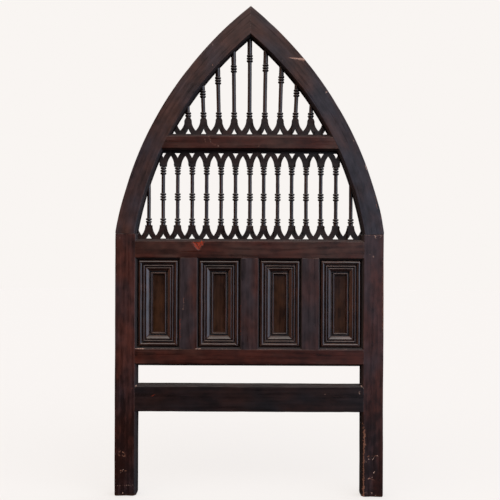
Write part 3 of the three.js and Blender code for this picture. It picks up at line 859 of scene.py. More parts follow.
@dataclass
class Joinery:
    """The frame: posts, arch members, rails and muntins, with chamfers round each opening."""

    station: float = 2.4
    face_step: float = 2.4
    hidden_step: float = 11.0
    arris: float = 1.7
    foot_wear: float = 6.5
    chip_depth: float = 1.6
    stretcher_raise: float = 3
    waviness: float = 0.3
    wave: float = 320
    mitre: float = 0.02
    easing: float = 0.3
    arch_section: float = 110
    held_inside: float = 14
    held_outside: float = 10
    bow_fade: float = 60
    left_bow: tuple[tuple[float, float, float], ...] = ((3.4, 1500, 300), (1.5, 1110, 80))
    right_bow: tuple[tuple[float, float, float], ...] = ((3.8, 1430, 300), (3.2, 1130, 75))

    def flare(self, y: Array, chamfer: float) -> Array:
        """How far an opening's edge widens towards the front: all of the chamfer on the front plane."""
        return np.clip(LAYOUT.front + chamfer - y, 0, chamfer)

    def stations(self, low: float, high: float) -> Array:
        """Distances along a member at the step of the stations."""
        return np.linspace(low, high, int(np.ceil((high - low) / self.station)) + 1)

    def build(self) -> None:
        """Builds every member."""
        at = LAYOUT
        self.post("left_post", -1, 11, warmth=0.75, warm_side=-0.1, shade_low=0.85)
        self.post("right_post", 1, 12, warmth=0.4, warm_side=0.5, warm_up=-0.15, shade_low=0.85)
        # The right arch leans to the arch finish's bluish cool tone, partly as a painted cool reflection of
        # the light from the right.
        self.arch("left_arch", -1, 21, warmth=0.8, warm_up=0.3, shade=-0.1)
        self.arch("right_arch", 1, 22, warmth=0.32, warm_up=0.5, shade=-0.12)
        raised, small = at.bottom_top + self.stretcher_raise, at.chamfer - self.stretcher_raise
        self.rail("bottom_rail", at.bottom_low, raised, 31, Slot.STRETCHER, below=False, chamfer=small,
                  warmth=0.5)
        self.rail("lower_panel_rail", at.panel_low, at.panel_top, 32, Slot.RAIL, warmth=1.1)
        self.rail("middle_rail", at.middle_low, at.middle_top, 33, Slot.RAIL, warmth=0.6, warm_side=-0.2,
                  shade=-0.05)
        self.rail("cross_rail", at.cross_low, at.cross_top, 34, Slot.RAIL, in_arch=True, warmth=0.65,
                  shade=-0.15)
        for i in range(at.panels - 1):
            self.muntin(f"muntin_{i + 1}", (i - (at.panels - 2) / 2) * at.pitch, 41 + i)

    def post(self, node: str, side: int, seed: int, **tone: float) -> None:
        """A post: a section with a chamfered inner front corner, carried from the floor to the shoulder.

        Args:
            node: name of the solid that it replaces.
            side: -1 on the left and 1 on the right.
            seed: seed of its unevenness.
            tone: warmth and shade of its dressing.
        """
        at = LAYOUT
        corners = [(at.post_outer, at.front), (at.post_outer, at.back), (at.post_inner, at.back),
                   (at.post_inner, at.front + at.chamfer), (at.face_edge, at.front)]
        spacing = [self.hidden_step, self.hidden_step, self.hidden_step, 3.0, self.face_step]
        run = self.stations(0, at.shoulder)
        flat = Section.of(corners, spacing).along(run, self.arris, seed)
        rings = np.concatenate([flat, np.broadcast_to(run[:, None, None], (*flat.shape[:2], 1))], -1)
        rings = self.contained(uneven(rings, seed, self.waviness, self.wave), run)
        rings[..., 0] *= side
        skin = Skin.loft(rings, (self.foot_wear, 0.7))
        # Painted shade on the chamfer and inner edges.
        Dressing(node, Slot.POST, grain_upright, seed, rub=0.6, shade_paint=shade_behind_faces,
                 handled=off_the_joints, **tone).finish(skin.mesh(node))

    def contained(self, rings: Array, run: Array) -> Array:
        """Keeps an uneven member inside the overall box and its ends in their planes.

        Args:
            rings: stations by points by 3.
            run: the stations' heights.

        Returns:
            The rings.
        """
        at = LAYOUT
        rings[..., 0] = np.clip(rings[..., 0], -at.post_outer, at.post_outer)
        rings[..., 1] = np.clip(rings[..., 1], at.front, at.back)
        rings[[0, -1], :, 2] = run[[0, -1], None]
        return rings

    def arch(self, node: str, side: int, seed: int, **tone: float) -> None:
        """An arch member, as lines from the inner arc to the outer one at equal shares of both.

        Both arcs start on the shoulder and end on the mitre, so the ends are flat. Distances from the nearer
        arc are kept in the section, and the width between them takes up the change in depth.

        Args:
            node: name of the solid that it replaces.
            side: -1 on the left and 1 on the right.
            seed: seed of its unevenness.
            tone: warmth and shade of its dressing.
        """
        at = LAYOUT
        count = int(np.hypot(at.post_outer, at.arch_rise) / self.station)
        inner = at.inner_arc.between(at.shoulder + at.joint, self.mitre, count)
        outer = at.outer_arc.between(at.shoulder + at.joint, self.mitre, count)
        across = outer - inner
        wide = np.linalg.norm(across, axis=1, keepdims=True)
        across = across / wide
        corners = [(self.arch_section, at.front), (self.arch_section, at.back), (0, at.back),
                   (0, at.front + at.chamfer), (at.chamfer, at.front)]
        spacing = [self.hidden_step, self.hidden_step, self.hidden_step, 3.0, self.face_step]
        run = np.concatenate([[0], np.cumsum(np.hypot(*np.diff(inner, axis=0).T))])
        flat = Section.of(corners, spacing).along(run, self.arris, seed)
        near, far = self.held_inside, self.arch_section - self.held_outside
        share = np.clip((flat[..., 0] - near) / (far - near), 0, 1)
        reach = flat[..., 0] + share * (wide - self.arch_section)
        place = inner[:, None] + across[:, None] * reach[..., None]
        bow = self.bow(place[..., 1], side) * share * smooth_step(0, self.bow_fade, place[..., 0])
        rings = np.stack([place[..., 0] + bow, flat[..., 1], place[..., 1]], -1)
        moved = uneven(rings, seed, self.waviness, self.wave)
        moved[..., 1] = np.clip(moved[..., 1], at.front, at.back)
        moved[..., 2] = np.minimum(moved[..., 2], at.apex)
        moved[0, :, 2] = rings[0, :, 2]
        moved[-1, :, 0] = rings[-1, :, 0]
        moved[..., 0] = np.clip(moved[..., 0], self.mitre, at.post_outer) * side
        skin = Skin.loft(moved, (0.7, 0.02))
        # Painted shade on the chamfer and inner edges.
        Dressing(node, Slot.ARCH, grain_arch, seed, rub=0.6, shade_paint=shade_behind_faces,
                 handled=off_the_joints, **tone).finish(skin.mesh(node))

    def bow(self, height: Array, side: int) -> Array:
        """How much fuller the outer edge is than its arc, as a broad bell curve and one by the shoulder."""
        humps = self.right_bow if side > 0 else self.left_bow
        return sum(amount * np.exp(-(((height - middle) / reach) ** 2)) for amount, middle, reach in humps)

    def rail(self, node: str, low: float, high: float, seed: int, slot: Slot, below: bool = True,
             in_arch: bool = False, chamfer: float = LAYOUT.chamfer, **tone: float) -> None:
        """A rail: a section with chamfers on its front corners, carried along X to ends that are scribed.

        Each point's end lies where the neighbouring member's face is at its own depth and height.

        Args:
            node: name of the solid that it replaces.
            low: height of the face's lower edge.
            high: height of the face's upper edge.
            seed: seed of its unevenness.
            slot: its material slot.
            below: whether its lower edge is chamfered.
            in_arch: whether it ends on the arch.
            chamfer: size of its chamfers.
            tone: warmth and shade of its dressing.
        """
        at = LAYOUT
        drop = chamfer if below else 0
        corners = [(at.front, high), (at.front + chamfer, high + chamfer), (at.back, high + chamfer),
                   (at.back, low - drop)]
        spacing = [3.0, self.hidden_step, self.hidden_step, self.hidden_step]
        if below:
            corners.append((at.front + chamfer, low - drop))
            spacing.append(3.0)
        corners.append((at.front, low))
        spacing.append(self.face_step)
        run = self.stations(-at.face_edge, at.face_edge)
        flat = Section.of(corners, spacing).along(run, self.arris, seed)
        y, z = flat[..., 0], flat[..., 1]
        inside = at.inner_arc.half_width(z) if in_arch else at.post_inner
        reach = inside + self.flare(y, at.chamfer) - at.joint
        rings = np.stack([run[:, None] / at.face_edge * reach, y, z], -1)
        moved = uneven(rings, seed, self.waviness, self.wave)
        moved[[0, -1], :, 0] = rings[[0, -1], :, 0]
        moved[..., 1] = np.clip(moved[..., 1], at.front, at.back)
        moved[..., 1] += self.gouge(moved[..., 0], moved[..., 2], moved[..., 1])
        skin = Skin.loft(moved, (self.easing, self.easing))
        # Painted shade on the chamfers, except on the stretcher.
        shade_paint = nowhere if slot is Slot.STRETCHER else shade_behind_faces
        Dressing(node, slot, grain_level, seed, rub=0.3, shade_paint=shade_paint, **tone).finish(skin.mesh(node))

    def gouge(self, x: Array, z: Array, y: Array) -> Array:
        """The chip under the lower gallery: a shallow hollow on the front, as deep as its mark is strong.

        Args:
            x: distances to the right.
            z: heights.
            y: distances to the back.

        Returns:
            How far each point sinks.
        """
        depth = self.chip_depth * smooth_step(0.4, 1.0, CHIP.at(x, z))
        return np.where(y < LAYOUT.front + 4, depth, 0)

    def muntin(self, node: str, centre: float, seed: int) -> None:
        """A muntin: a section with chamfered front corners, carried up to ends scribed over the rails.

        Args:
            node: name of the solid that it replaces.
            centre: place of its middle.
            seed: seed of its unevenness.
        """
        at = LAYOUT
        edge, half = at.muntin_face / 2, at.muntin_width / 2
        cut = at.muntin_chamfer
        corners = [(edge, at.front), (half, at.front + cut), (half, at.back), (-half, at.back),
                   (-half, at.front + cut), (-edge, at.front)]
        spacing = [2.0, self.hidden_step, self.hidden_step, self.hidden_step, 2.0, self.face_step]
        run = np.linspace(-1, 1, 130)
        flat = Section.of(corners, spacing).along(run * 180, self.arris, seed)
        y = flat[..., 1]
        reach = at.clear_height / 2 + self.flare(y, at.chamfer) - at.joint
        rings = np.stack([centre + flat[..., 0], y, at.panel_middle + run[:, None] * reach], -1)
        moved = uneven(rings, seed, self.waviness, 300)
        moved[[0, -1], :, 2] = rings[[0, -1], :, 2]
        moved[..., 1] = np.clip(moved[..., 1], at.front, at.back)
        skin = Skin.loft(moved, (self.easing, self.easing))
        # Painted shade on the chamfers and inner edges.
        Dressing(node, Slot.MUNTIN, grain_upright, seed, rub=0.5, warmth=0.3, warm_side=0.35, shade=-0.08,
                 shade_paint=shade_behind_faces).finish(skin.mesh(node))


@dataclass
class Panels:
    """Four boards in grooves, each with four mitred mouldings planted on it."""

    depth: float = 26
    board: float = 12
    tongue: float = 7
    side_margin: float = 4.5
    end_margin: float = 2
    stations: int = 44
    mitre: float = 0.04

    def bead(self, start: float, width: float, crest: float, root: float, count: int = 9,
             power: float = 2.3) -> Array:
        """A bead of the section: it rises from its root to its crest along a flattened half circle.

        Args:
            start: distance inwards of its near edge.
            width: its width.
            crest: depth of its crest behind the front.
            root: depth of its edges.
            count: number of its points.
            power: how square its curve is, with 2 for a half circle.

        Returns:
            Rows of (distance inwards, depth).
        """
        share = np.linspace(0, 1, count)
        rise = (root - crest) * np.sqrt(np.clip(1 - np.abs(2 * share - 1) ** power, 0, 1))
        return np.stack([start + share * width, root - rise], 1)

    def profile(self) -> Array:
        """The section from the outer edge inwards: two beads, a fillet, a falling slope and an inner bead.

        Returns:
            Rows of (distance inwards, depth behind the front), closed round the back.
        """
        seat = self.depth - 0.3
        return np.concatenate([
            self.bead(0.0, 14.8, 5.0, 12.0, 13),
            [(15.1, 15.0), (15.8, 15.6), (17.2, 15.6), (17.8, 15.0)],
            self.bead(18.1, 7.3, 8.2, 12.8, 11, 1.9),
            [(25.7, 14.6), (26.3, 15.2), (27.6, 15.2), (28.1, 14.6)],
            [(28.3, 12.8), (28.8, 11.8), (29.6, 10.9), (30.6, 10.3), (31.6, 10.2), (32.4, 10.6)],
            [(35.4, 12.5), (39.2, 14.8), (43.0, 17.3)],
            [(43.3, 18.0), (43.4, 23.4), (43.9, 24.6), (47.3, 24.6), (47.8, 22.4)],
            self.bead(48.0, 7.0, 16.6, 21.4, 11),
            [(55.3, 23.0), (57.0, seat), (28.0, seat), (0.0, seat), (0.0, 18.0)],
        ])

    def build(self) -> None:
        """Builds every board and moulding."""
        at = LAYOUT
        for i in range(at.panels):
            centre = (i - (at.panels - 1) / 2) * at.pitch
            self.panel_board(f"panel_board_{i + 1}", centre, 51 + i)
            for k, side in enumerate(("top", "right", "bottom", "left")):
                self.moulding(f"panel_{i + 1}_{side}_moulding", centre, k, 61 + 4 * i + k)

    def panel_board(self, node: str, centre: float, seed: int) -> None:
        """A board: a plain section carried up, hollowed by half a millimetre as it has dried.

        Args:
            node: name of the solid that it replaces.
            centre: place of its middle.
            seed: seed of its unevenness.
        """
        at = LAYOUT
        half = at.clear_width / 2 + self.tongue
        high = at.clear_height / 2 + self.tongue
        front = at.front + self.depth
        corners = [(half, front), (half, front + self.board), (-half, front + self.board), (-half, front)]
        run = np.linspace(-high, high, 90)
        flat = Section.of(corners, [6, 9, 6, 4]).along(run, 0.8, seed)
        height = at.panel_middle + np.broadcast_to(run[:, None], flat.shape[:2])
        rings = np.stack([centre + flat[..., 0], flat[..., 1], height], -1)
        rings[..., 1] += 0.25 * Waves(seed, 120).at(rings[..., 0], rings[..., 2])
        skin = Skin.loft(rings, (0.8, 0.8))
        dressing = Dressing(node, Slot.BOARD, grain_upright, seed, rub=0.3, warmth=0.7, warm_up=-0.35)
        dressing.finish(skin.mesh(node))

    def moulding(self, node: str, centre: float, turn: int, seed: int) -> None:
        """A moulding: the section carried along one side of the frame to ends mitred at 45 degrees.

        A point's run is shorter at each end by its own distance inwards.

        Args:
            node: name of the solid that it replaces.
            centre: place of the panel's middle.
            turn: 0 for the top, 1 right, 2 bottom and 3 left.
            seed: seed of its unevenness.
        """
        at = LAYOUT
        wide = at.clear_width / 2 - self.side_margin
        high = at.clear_height / 2 - self.end_margin
        half, reach = ((wide, high), (high, wide))[turn % 2]
        profile = self.profile()
        inwards = np.broadcast_to(profile[:, 0], (self.stations, len(profile)))
        share = np.linspace(-1, 1, self.stations)[:, None]
        run = share * (half - inwards - self.mitre)
        place = reach - inwards
        x, z = ((run, place), (place, -run), (-run, -place), (-place, run))[turn]
        depth = np.broadcast_to(at.front + profile[:, 1], run.shape)
        rings = np.stack([centre + x, depth, at.panel_middle + z], -1)
        moved = uneven(rings, seed, 0.16, 90)
        moved[[0, -1]] = rings[[0, -1]]
        skin = Skin.loft(moved, (0.01, 0.01))
        grain = grain_upright if turn % 2 else grain_level
        Dressing(node, Slot.MOULDING, grain, seed, rub=0.35, warmth=0.5).finish(skin.mesh(node))


@dataclass(frozen=True)
class Strip:
    """The sizes of one arcade strip, as heights from its base."""

    height: float
    valley: float
    sill: float
    notch: float
    dome: float


@dataclass
class Arcades:
    """Strips of forks sawn from thin board: pointed gaps above, and small hollow-sided notches below."""

    fork_width: float = 27.5
    notch_width: float = 25.0
    thickness: float = 16.0
    plane: float = 0.0
    lower: Strip = Strip(56, 14, 2.5, 24, 0)
    hanging: Strip = Strip(62, 18, 7, 30, 0)
    upper: Strip = Strip(61, 19, 5.5, 30, 9.5)
    lower_spindles: int = 15
    upper_spindles: int = 9
    drift: float = 6.0
    easing: float = 0.9

    def lower_centres(self, count: int) -> Array:
        """The lower forks' places: equal steps, less a drift to the left along half a sine on the right.

        Args:
            count: number of forks.

        Returns:
            Their distances to the right.
        """
        pitch = 2 * LAYOUT.post_inner / (self.lower_spindles + 0.42)
        end = pitch * (self.lower_spindles - 1) / 2
        x = (np.arange(count) - (count - 1) / 2) * pitch
        return x - self.drift * np.sin(np.pi * np.clip(x / end, 0, 1))

    def upper_centres(self, count: int) -> Array:
        """The upper forks' places: equal steps, all a little to the left.

        Args:
            count: number of forks.

        Returns:
            Their distances to the right.
        """
        at = LAYOUT
        room = 2 * at.inner_arc.half_width(at.cross_top + at.chamfer)
        return (np.arange(count) - (count - 1) / 2) * room / (self.upper_spindles + 1.3) - 3.0

    def levels(self) -> dict[str, float]:
        """Heights of the strips' bases and of the spindles' seats and heads.

        Returns:
            A height for each name.
        """
        at = LAYOUT
        low = at.middle_top + at.chamfer + 0.3
        high = at.cross_low - at.chamfer - 0.3
        up = at.cross_top + at.chamfer + 0.3
        return {"low": low, "high": high, "up": up, "low_seat": low + self.lower.height,
                "low_head": high - self.hanging.height, "up_seat": up + self.upper.height + self.upper.dome}

    def half_fork(self, strip: Strip, reach: float) -> tuple[Array, Array, Array]:
        """Columns from a fork's middle to the valley beside it.

        The tip is flat or a dome, a quartic in the distance from the middle. Its ear drops straight, and then
        a quadratic curve spreads to the valley. The notch's side falls from its peak as the distance from the
        middle to the power 0.68.

        Args:
            strip: the strip's sizes.
            reach: distance from the fork's middle to the valley.

        Returns:
            The columns' distances from the middle, and the heights of the crown and of the notch above them.
        """
        half, notch = self.fork_width / 2, self.notch_width / 2
        tall = strip.height - strip.valley
        tip = np.array([0, 0.8, 2.0, 4.0, 6.5, 9.0, 11.0, notch, half])
        dome = strip.dome * (1 - (tip / half) ** 4) ** 0.66
        ear = strip.height - 0.12 * tall
        share = np.linspace(0, 1, 12)
        pull = (half + 0.1 * (reach - half), strip.valley + 0.4 * tall)
        side = [(1 - share) ** 2 * a + 2 * share * (1 - share) * b + share**2 * c
                for a, b, c in ((half, pull[0], reach), (ear, pull[1], strip.valley))]
        x = np.concatenate([tip, side[0]])
        crown = np.concatenate([strip.height + dome, side[1]])
        rise = strip.notch - strip.sill
        under = strip.sill + rise * (1 - np.clip(x / notch, 0, 1) ** 0.68)
        return x, crown, np.where(x >= notch, strip.sill, under)

    def face(self, strip: Strip, centres: Array, base: float, upwards: int, seed: int) -> bpy.types.Mesh:
        """The strip's front as a welded sheet in X and Z, with its notches open.

        Args:
            strip: the strip's sizes.
            centres: places of its forks.
            base: height of its base line.
            upwards: 1 for a standing strip and -1 for a hanging one.
            seed: seed of the hand sawing.

        Returns:
            The sheet, facing the front.
        """
        rng = np.random.default_rng(seed)
        gaps = np.diff(centres) / 2
        columns = []
        for i, centre in enumerate(centres):
            left = self.half_fork(strip, gaps[max(i - 1, 0)])
            right = self.half_fork(strip, gaps[min(i, len(gaps) - 1)])
            sway, lift = rng.uniform(-0.7, 0.7), rng.uniform(-0.7, 0.7)
            for mirror, (x, crown, under) in ((-1, left), (1, right)):
                order = slice(None, None, -1 if mirror < 0 else 1)
                held = smooth_step(strip.valley, strip.height, crown)
                part = np.stack([centre + mirror * x + sway * held, crown + lift * held,
                                 under + lift * (under > strip.sill)], 1)
                columns.append(part[order])
        x, crown, under = np.concatenate(columns).T
        rows = [np.zeros_like(x), np.full_like(x, strip.sill)]
        rows += [under + (crown - under) * share for share in (0, 0.34, 0.67, 1)]
        points = np.stack([np.stack([x, row], 1) for row in rows])
        index = np.arange(points.shape[0] * points.shape[1]).reshape(points.shape[:2])
        quads = np.stack([index[:-1, :-1], index[:-1, 1:], index[1:, 1:], index[1:, :-1]], -1)
        quads = quads[[0, 2, 3, 4]].reshape(-1, 4)
        flat = points.reshape(-1, 2)
        a, b, c, d = (flat[quads[:, k]] for k in range(4))
        p, q = c - a, d - b
        area = np.abs(p[:, 0] * q[:, 1] - p[:, 1] * q[:, 0]) / 2
        quads = quads[area > 1e-3]
        places, weld = np.unique(np.round(flat, 3), axis=0, return_inverse=True)
        quads = weld.reshape(-1)[quads]
        x, z = places.T
        sheet = np.stack([x, np.full(len(x), self.plane), base + upwards * z], 1)
        return Skin(sheet, quads if upwards > 0 else quads[:, ::-1], []).mesh("strip")

    def trimmed(self, mesh: bpy.types.Mesh, cuts: list[tuple[tuple[float, float], ...]]) -> None:
        """Cuts the sheet off beyond lines in X and Z on the right, and beyond their mirrors on the left.

        Args:
            mesh: the sheet.
            cuts: two points of each line, as (x, z).
        """
        work = bmesh.new()
        work.from_mesh(mesh)
        bmesh.ops.remove_doubles(work, verts=work.verts, dist=1e-5)
        for (x0, z0), (x1, z1) in cuts:
            for side in (-1, 1):
                place = (side * x0 * MM, 0, z0 * MM)
                normal = (side * (z1 - z0), 0, x0 - x1)
                everything = [*work.verts, *work.edges, *work.faces]
                bmesh.ops.bisect_plane(work, geom=everything, plane_co=place, plane_no=normal,
                                       clear_outer=True)
        work.to_mesh(mesh)
        work.free()

    def strip(self, node: str, strip: Strip, centres: Array, base: float, upwards: int, seed: int) -> None:
        """One strip: its sheet, trimmed to the opening, given a thickness and eased at its edges.

        Args:
            node: name of the solid that it replaces.
            strip: the strip's sizes.
            centres: places of its forks.
            base: height of its base line.
            upwards: 1 for a standing strip and -1 for a hanging one.
            seed: seed of the hand sawing.
        """
        at = LAYOUT
        mesh = self.face(strip, centres, base, upwards, seed)
        low, high = sorted((base, base + upwards * (strip.height + strip.dome)))
        low = max(low, at.shoulder)
        chord = [(float(at.inner_arc.half_width(z)) - 0.4, z) for z in (low, high)]
        self.trimmed(mesh, [((at.post_inner - 0.3, 0), (at.post_inner - 0.3, 10)), tuple(chord)])
        blank = bpy.data.objects.new("blank", mesh)
        bpy.context.scene.collection.objects.link(blank)
        board = blank.modifiers.new("board", "SOLIDIFY")
        board.thickness, board.offset = self.thickness * MM, -1
        ease = blank.modifiers.new("ease", "BEVEL")
        ease.width, ease.segments = self.easing * MM, 2
        ease.limit_method, ease.angle_limit = "ANGLE", np.radians(32)
        shown = blank.evaluated_get(bpy.context.evaluated_depsgraph_get())
        solid = bpy.data.meshes.new_from_object(shown)
        bpy.data.objects.remove(blank)
        Dressing(node, Slot.FRET, grain_level, seed, rub=0.25, warmth=0.4).finish(solid)

    def build(self) -> None:
        """Builds the three strips."""
        at = self.levels()
        standing = self.lower_centres(self.lower_spindles + 2)
        hanging = self.lower_centres(self.lower_spindles)
        upper = self.upper_centres(self.upper_spindles + 2)
        self.strip("lower_fret_bottom", self.lower, standing, at["low"], 1, 91)
        self.strip("lower_fret_top", self.hanging, hanging, at["high"], -1, 92)
        self.strip("upper_fret", self.upper, upper, at["up"], 1, 93)


@dataclass(frozen=True)
class Turning:
    """The radii of one kind of spindle, and where its groups of beads stand."""

    shaft: float
    bead: float
    quirk: float
    collar: float
    foot: float


@dataclass
class Spindles:
    """Turned spindles: shafts with groups of round beads parted by narrow quirks."""

    arcades: Arcades
    spacing: float = 10.6
    sides: int = 22
    lower: Turning = Turning(7.4, 12.2, 6.6, 9.6, 18.6)
    upper: Turning = Turning(8.0, 12.6, 6.8, 9.8, 14.0)
    middle: float = 114.6
    head_drop: float = 17.2
    head_share: float = 0.75
    shortest_with_head: float = 85.0
    fan: float = 0.8
    plane: float = 8.0
    upper_shade: float = -0.4

    def group(self, kind: Turning, centre: float, count: int, below: float, above: float) -> list[Array]:
        """A group of beads as rows of (height, radius), from the radius below it to the one above.

        A bead's radius rises from the quirk as the root of 1 - |2t - 1|^2.4 over its height.

        Args:
            kind: the radii.
            centre: height of the group's middle over the seat.
            count: number of beads.
            below: radius below the group.
            above: radius above the group.

        Returns:
            The rows of each bead, from the foot up.
        """
        share = np.linspace(0, 1, 11)
        swell = np.clip(1 - np.abs(2 * share - 1) ** 2.4, 0, 1) ** 0.5
        low = centre - count * self.spacing / 2
        rows = [np.array([(low - 0.9, below), (low - 0.1, below)])]
        for i in range(count):
            start = low + (i + 0.06) * self.spacing
            height = start + share * 0.88 * self.spacing
            rows.append(np.stack([height, kind.quirk + (kind.bead - kind.quirk) * swell], 1))
        top = low + count * self.spacing
        return [*rows, np.array([(top + 0.1, above), (top + 0.9, above)])]

    def turned(self, kind: Turning, length: float, groups: list[list[Array]], lean: float, x: float,
               seat: float, seed: int) -> Skin:
        """A spindle: its profile spun about its axis, which leans from its seat.

        Args:
            kind: the radii.
            length: distance from the seat to the end.
            groups: groups of beads from the foot up.
            lean: angle from upright, in degrees.
            x: place of the seat.
            seat: height of the seat.
            seed: seed of the unevenness.

        Returns:
            The skin.
        """
        beads = np.concatenate([row for group in groups for row in group])
        last = groups[-1][-1][-1]
        shaft = [np.linspace(a[-1][-1], b[0][0], 9)[1:-1] for a, b in zip(groups[:-1], groups[1:])]
        tail = np.stack([np.linspace(last[0], length, 9)[1:], np.full(8, last[1])], 1)
        profile = np.concatenate([[(0.2, kind.collar)], beads, *shaft, tail])
        profile = profile[np.argsort(profile[:, 0], kind="stable")]
        profile = profile[profile[:, 0] <= length]
        height, radius = profile.T
        radius = radius * (1 + 0.012 * Waves(seed, 40).at(height))
        turn = np.linspace(0, 2 * np.pi, self.sides, endpoint=False)
        bend = 0.6 * np.sin(np.pi * height / length) * np.random.default_rng(seed).uniform(-1, 1)
        axis = x + height * np.tan(np.radians(lean)) + bend
        rings = np.stack([axis[:, None] + radius[:, None] * np.cos(turn),
                          self.plane + radius[:, None] * np.sin(turn),
                          np.broadcast_to((seat + height)[:, None], (len(height), self.sides))], -1)
        return Skin.loft(rings, (0.5, 0.5))

    def build(self) -> None:
        """Builds the spindles of both galleries."""
        at, levels = LAYOUT, self.arcades.levels()
        for i, x in enumerate(self.arcades.lower_centres(self.arcades.lower_spindles)):
            seat, head = levels["low_seat"], levels["low_head"]
            kind = self.lower
            whole = at.inner_arc.height(abs(x) + self.arcades.fork_width / 2) > head
            groups = [self.group(kind, kind.foot, 2, kind.collar, kind.shaft)]
            end = head - 0.1 - seat
            if whole:
                groups.append(self.group(kind, self.middle, 3, kind.shaft, kind.shaft))
                groups.append(self.group(kind, end - self.head_drop, 3, kind.shaft, kind.collar))
            else:
                end = float(at.inner_arc.height(abs(x) - kind.shaft)) + 6 - seat
            skin = self.turned(kind, end, groups, 0.0, x, seat, 101 + i)
            self.place(f"lower_spindle_{i + 1}", skin, groups, seat, 101 + i)
        for i, x in enumerate(self.arcades.upper_centres(self.arcades.upper_spindles)):
            kind, seat = self.upper, levels["up_seat"]
            lean = self.fan * (i - (self.arcades.upper_spindles - 1) / 2)
            length = float(at.inner_arc.height(x)) - seat
            groups = [self.group(kind, kind.foot, 2, kind.collar, kind.shaft)]
            if length > self.shortest_with_head:
                groups.append(self.group(kind, self.head_share * length, 3, kind.shaft, kind.collar))
            end = length + 22
            skin = self.turned(kind, end, groups, lean, x, seat, 121 + i)
            self.place(f"upper_spindle_{i + 1}", skin, groups, seat, 121 + i, self.upper_shade)

    def place(self, node: str, skin: Skin, groups: list[list[Array]], seat: float, seed: int,
              shade: float = 0.0) -> None:
        """Finishes one spindle, with painted shade about its groups of beads.

        Args:
            node: name of the solid that it replaces.
            skin: its surface.
            groups: its groups of beads from the foot up.
            seat: height of its seat.
            seed: seed of its tone.
            shade: how much darker it is.
        """
        spans = [(seat + group[0][0][0], seat + group[-1][-1][0]) for group in groups]

        def shade_paint(points: Array) -> Array:
            """Painted shade within each group, gone 2 mm beyond it.

            Args:
                points: rows of (x, y, z) in millimetres.

            Returns:
                A share for each point.
            """
            z = points[:, 2]
            within = [smooth_step(low - 2, low + 1, z) * smooth_step(high + 2, high - 1, z)
                      for low, high in spans]
            return 0.2 * np.max(within, axis=0)

        # The spindle is darkened about its groups of beads by painted shade.
        dressing = Dressing(node, Slot.SPINDLE, grain_upright, seed, rub=0.0, shade=shade, shade_paint=shade_paint)
        dressing.finish(skin.mesh(node))


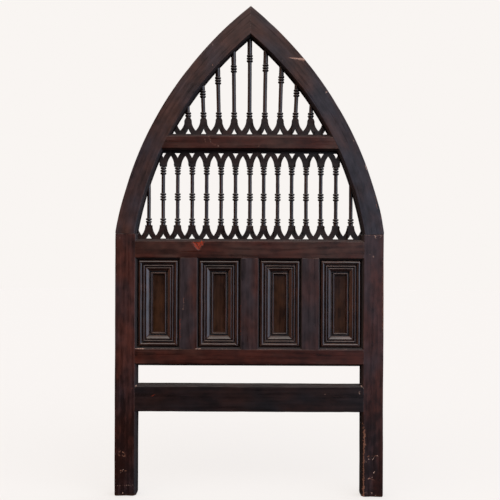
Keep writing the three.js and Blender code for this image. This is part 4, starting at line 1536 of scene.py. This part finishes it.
@dataclass
class Studio:
    """A pale floor, soft light from all round and above, and the camera at the photo's place."""

    backdrop: str = "#f9f5f2"
    camera_height: float = 0.982
    camera_distance: float = 2.725
    focal_pixels: float = 678.0
    frame_pixels: float = 500.0
    roll: float = -0.26
    shift_pixels: float = 0.4
    floor_half: float = 14.0
    floor_level: float = -0.2
    paper: tuple[float, ...] = (0.172, 0.174, 0.172, 1.0)
    paper_glow: float = 0.716
    dimmest: tuple[float, float, float] = (0.045, 0.04, 0.04)
    # Each light grows from one share of a direction's X or Z to another: a warm ring above, less over the
    # top, cool on the right, less at the far right, and a faint warm one on the left.
    lights: tuple[tuple[int, float, float, tuple[float, float, float]], ...] = (
        (2, 0.27, 0.72, (3.0, 2.74, 2.54)), (2, 0.72, 0.88, (-2.5, -2.28, -2.12)),
        (0, -0.03, 0.72, (1.15, 1.38, 1.75)), (0, 0.84, 0.98, (-0.8, -0.95, -1.2)),
        (0, -0.28, -0.75, (0.3, 0.13, 0.07)))
    # Less light from below the floor, and less from behind except from high up.
    gates: tuple[tuple[int, float, float, float], ...] = (
        (2, -0.35, 0.0, 0.12), (1, 0.4, -0.1, 0.06), (2, 0.44, 0.66, 0.0))

    def floor(self) -> None:
        """A level square of matt pale paper, which no light bounces off onto the wood."""
        half = self.floor_half / MM
        corners = [(-half, -half), (half, -half), (half, half), (-half, half)]
        points = np.array([(x, y, self.floor_level) for x, y in corners])
        mesh = Skin(points, np.array([[0, 1, 2, 3]]), []).mesh("floor")
        paper = bpy.data.materials.new("matt_paper")
        paper.use_nodes = True
        shader = paper.node_tree.nodes["Principled BSDF"]
        shader.inputs["Base Color"].default_value = self.paper
        shader.inputs["Roughness"].default_value = 1.0
        shader.inputs["Specular IOR Level"].default_value = 0.0
        shader.inputs["Emission Color"].default_value = linear(self.backdrop)
        shader.inputs["Emission Strength"].default_value = self.paper_glow
        mesh.materials.append(paper)
        floor = bpy.data.objects.new("floor", mesh)
        bpy.context.scene.collection.objects.link(floor)
        floor.visible_diffuse = floor.visible_glossy = False

    def world(self) -> None:
        """Light by direction: bright above, cool on the right, warm on the left, and dim behind and below."""
        world = bpy.data.worlds.new("studio")
        bpy.context.scene.world = world
        world.use_nodes = True
        tree = world.node_tree
        tree.nodes.clear()
        way = add_node(tree, "ShaderNodeTexCoord").outputs["Generated"]
        parts = add_node(tree, "ShaderNodeSeparateXYZ", inputs={0: way}).outputs

        smooth = {"interpolation_type": "SMOOTHSTEP"}
        scale, add, most = ({"operation": kind} for kind in ("SCALE", "ADD", "MAXIMUM"))
        total = self.dimmest
        for axis, low, high, colour in self.lights:
            share = add_node(tree, "ShaderNodeMapRange", smooth, {0: parts[axis], 1: low, 2: high})
            light = add_node(tree, "ShaderNodeVectorMath", scale, {0: colour, 3: share.outputs[0]})
            total = add_node(tree, "ShaderNodeVectorMath", add, {0: total, 1: light.outputs[0]}).outputs[0]
        gates = [add_node(tree, "ShaderNodeMapRange", smooth,
                          {0: parts[axis], 1: low, 2: high, 3: least, 4: 1.0})
                 for axis, low, high, least in self.gates]
        front = add_node(tree, "ShaderNodeMath", most, {0: gates[1].outputs[0], 1: gates[2].outputs[0]})
        for gate in (gates[0], front):
            total = add_node(tree, "ShaderNodeVectorMath", scale, {0: total, 3: gate.outputs[0]}).outputs[0]
        light = add_node(tree, "ShaderNodeBackground", inputs={"Color": total}).outputs[0]
        plain = add_node(tree, "ShaderNodeBackground", inputs={"Color": linear(self.backdrop)}).outputs[0]
        seen = add_node(tree, "ShaderNodeLightPath").outputs["Is Camera Ray"]
        both = add_node(tree, "ShaderNodeMixShader", inputs={0: seen, 1: light, 2: plain})
        add_node(tree, "ShaderNodeOutputWorld", inputs={"Surface": both.outputs[0]})

    def camera(self) -> None:
        """A level camera in front of the middle, with the photo's slight roll."""
        lens = bpy.data.cameras.new("camera")
        lens.sensor_width = 36
        lens.lens = self.focal_pixels / self.frame_pixels * lens.sensor_width
        lens.shift_x = self.shift_pixels / self.frame_pixels
        camera = bpy.data.objects.new("camera", lens)
        camera.location = (0, -self.camera_distance, self.camera_height)
        camera.rotation_euler = (np.pi / 2, np.radians(self.roll), 0)
        bpy.context.scene.collection.objects.link(camera)
        bpy.context.scene.camera = camera

    def build(self) -> None:
        """Sets the stage, with colours shown as they are."""
        bpy.context.scene.view_settings.view_transform = "Standard"
        self.floor()
        self.world()
        self.camera()


def main() -> None:
    """Builds the sub-assemblies in order."""
    logging.basicConfig(level=logging.INFO, format="%(name)s %(message)s")
    Studio().build()
    Joinery().build()
    Panels().build()
    arcades = Arcades()
    arcades.build()
    Spindles(arcades).build()
    bpy.context.view_layer.update()


if __name__ == "__main__":
    main()
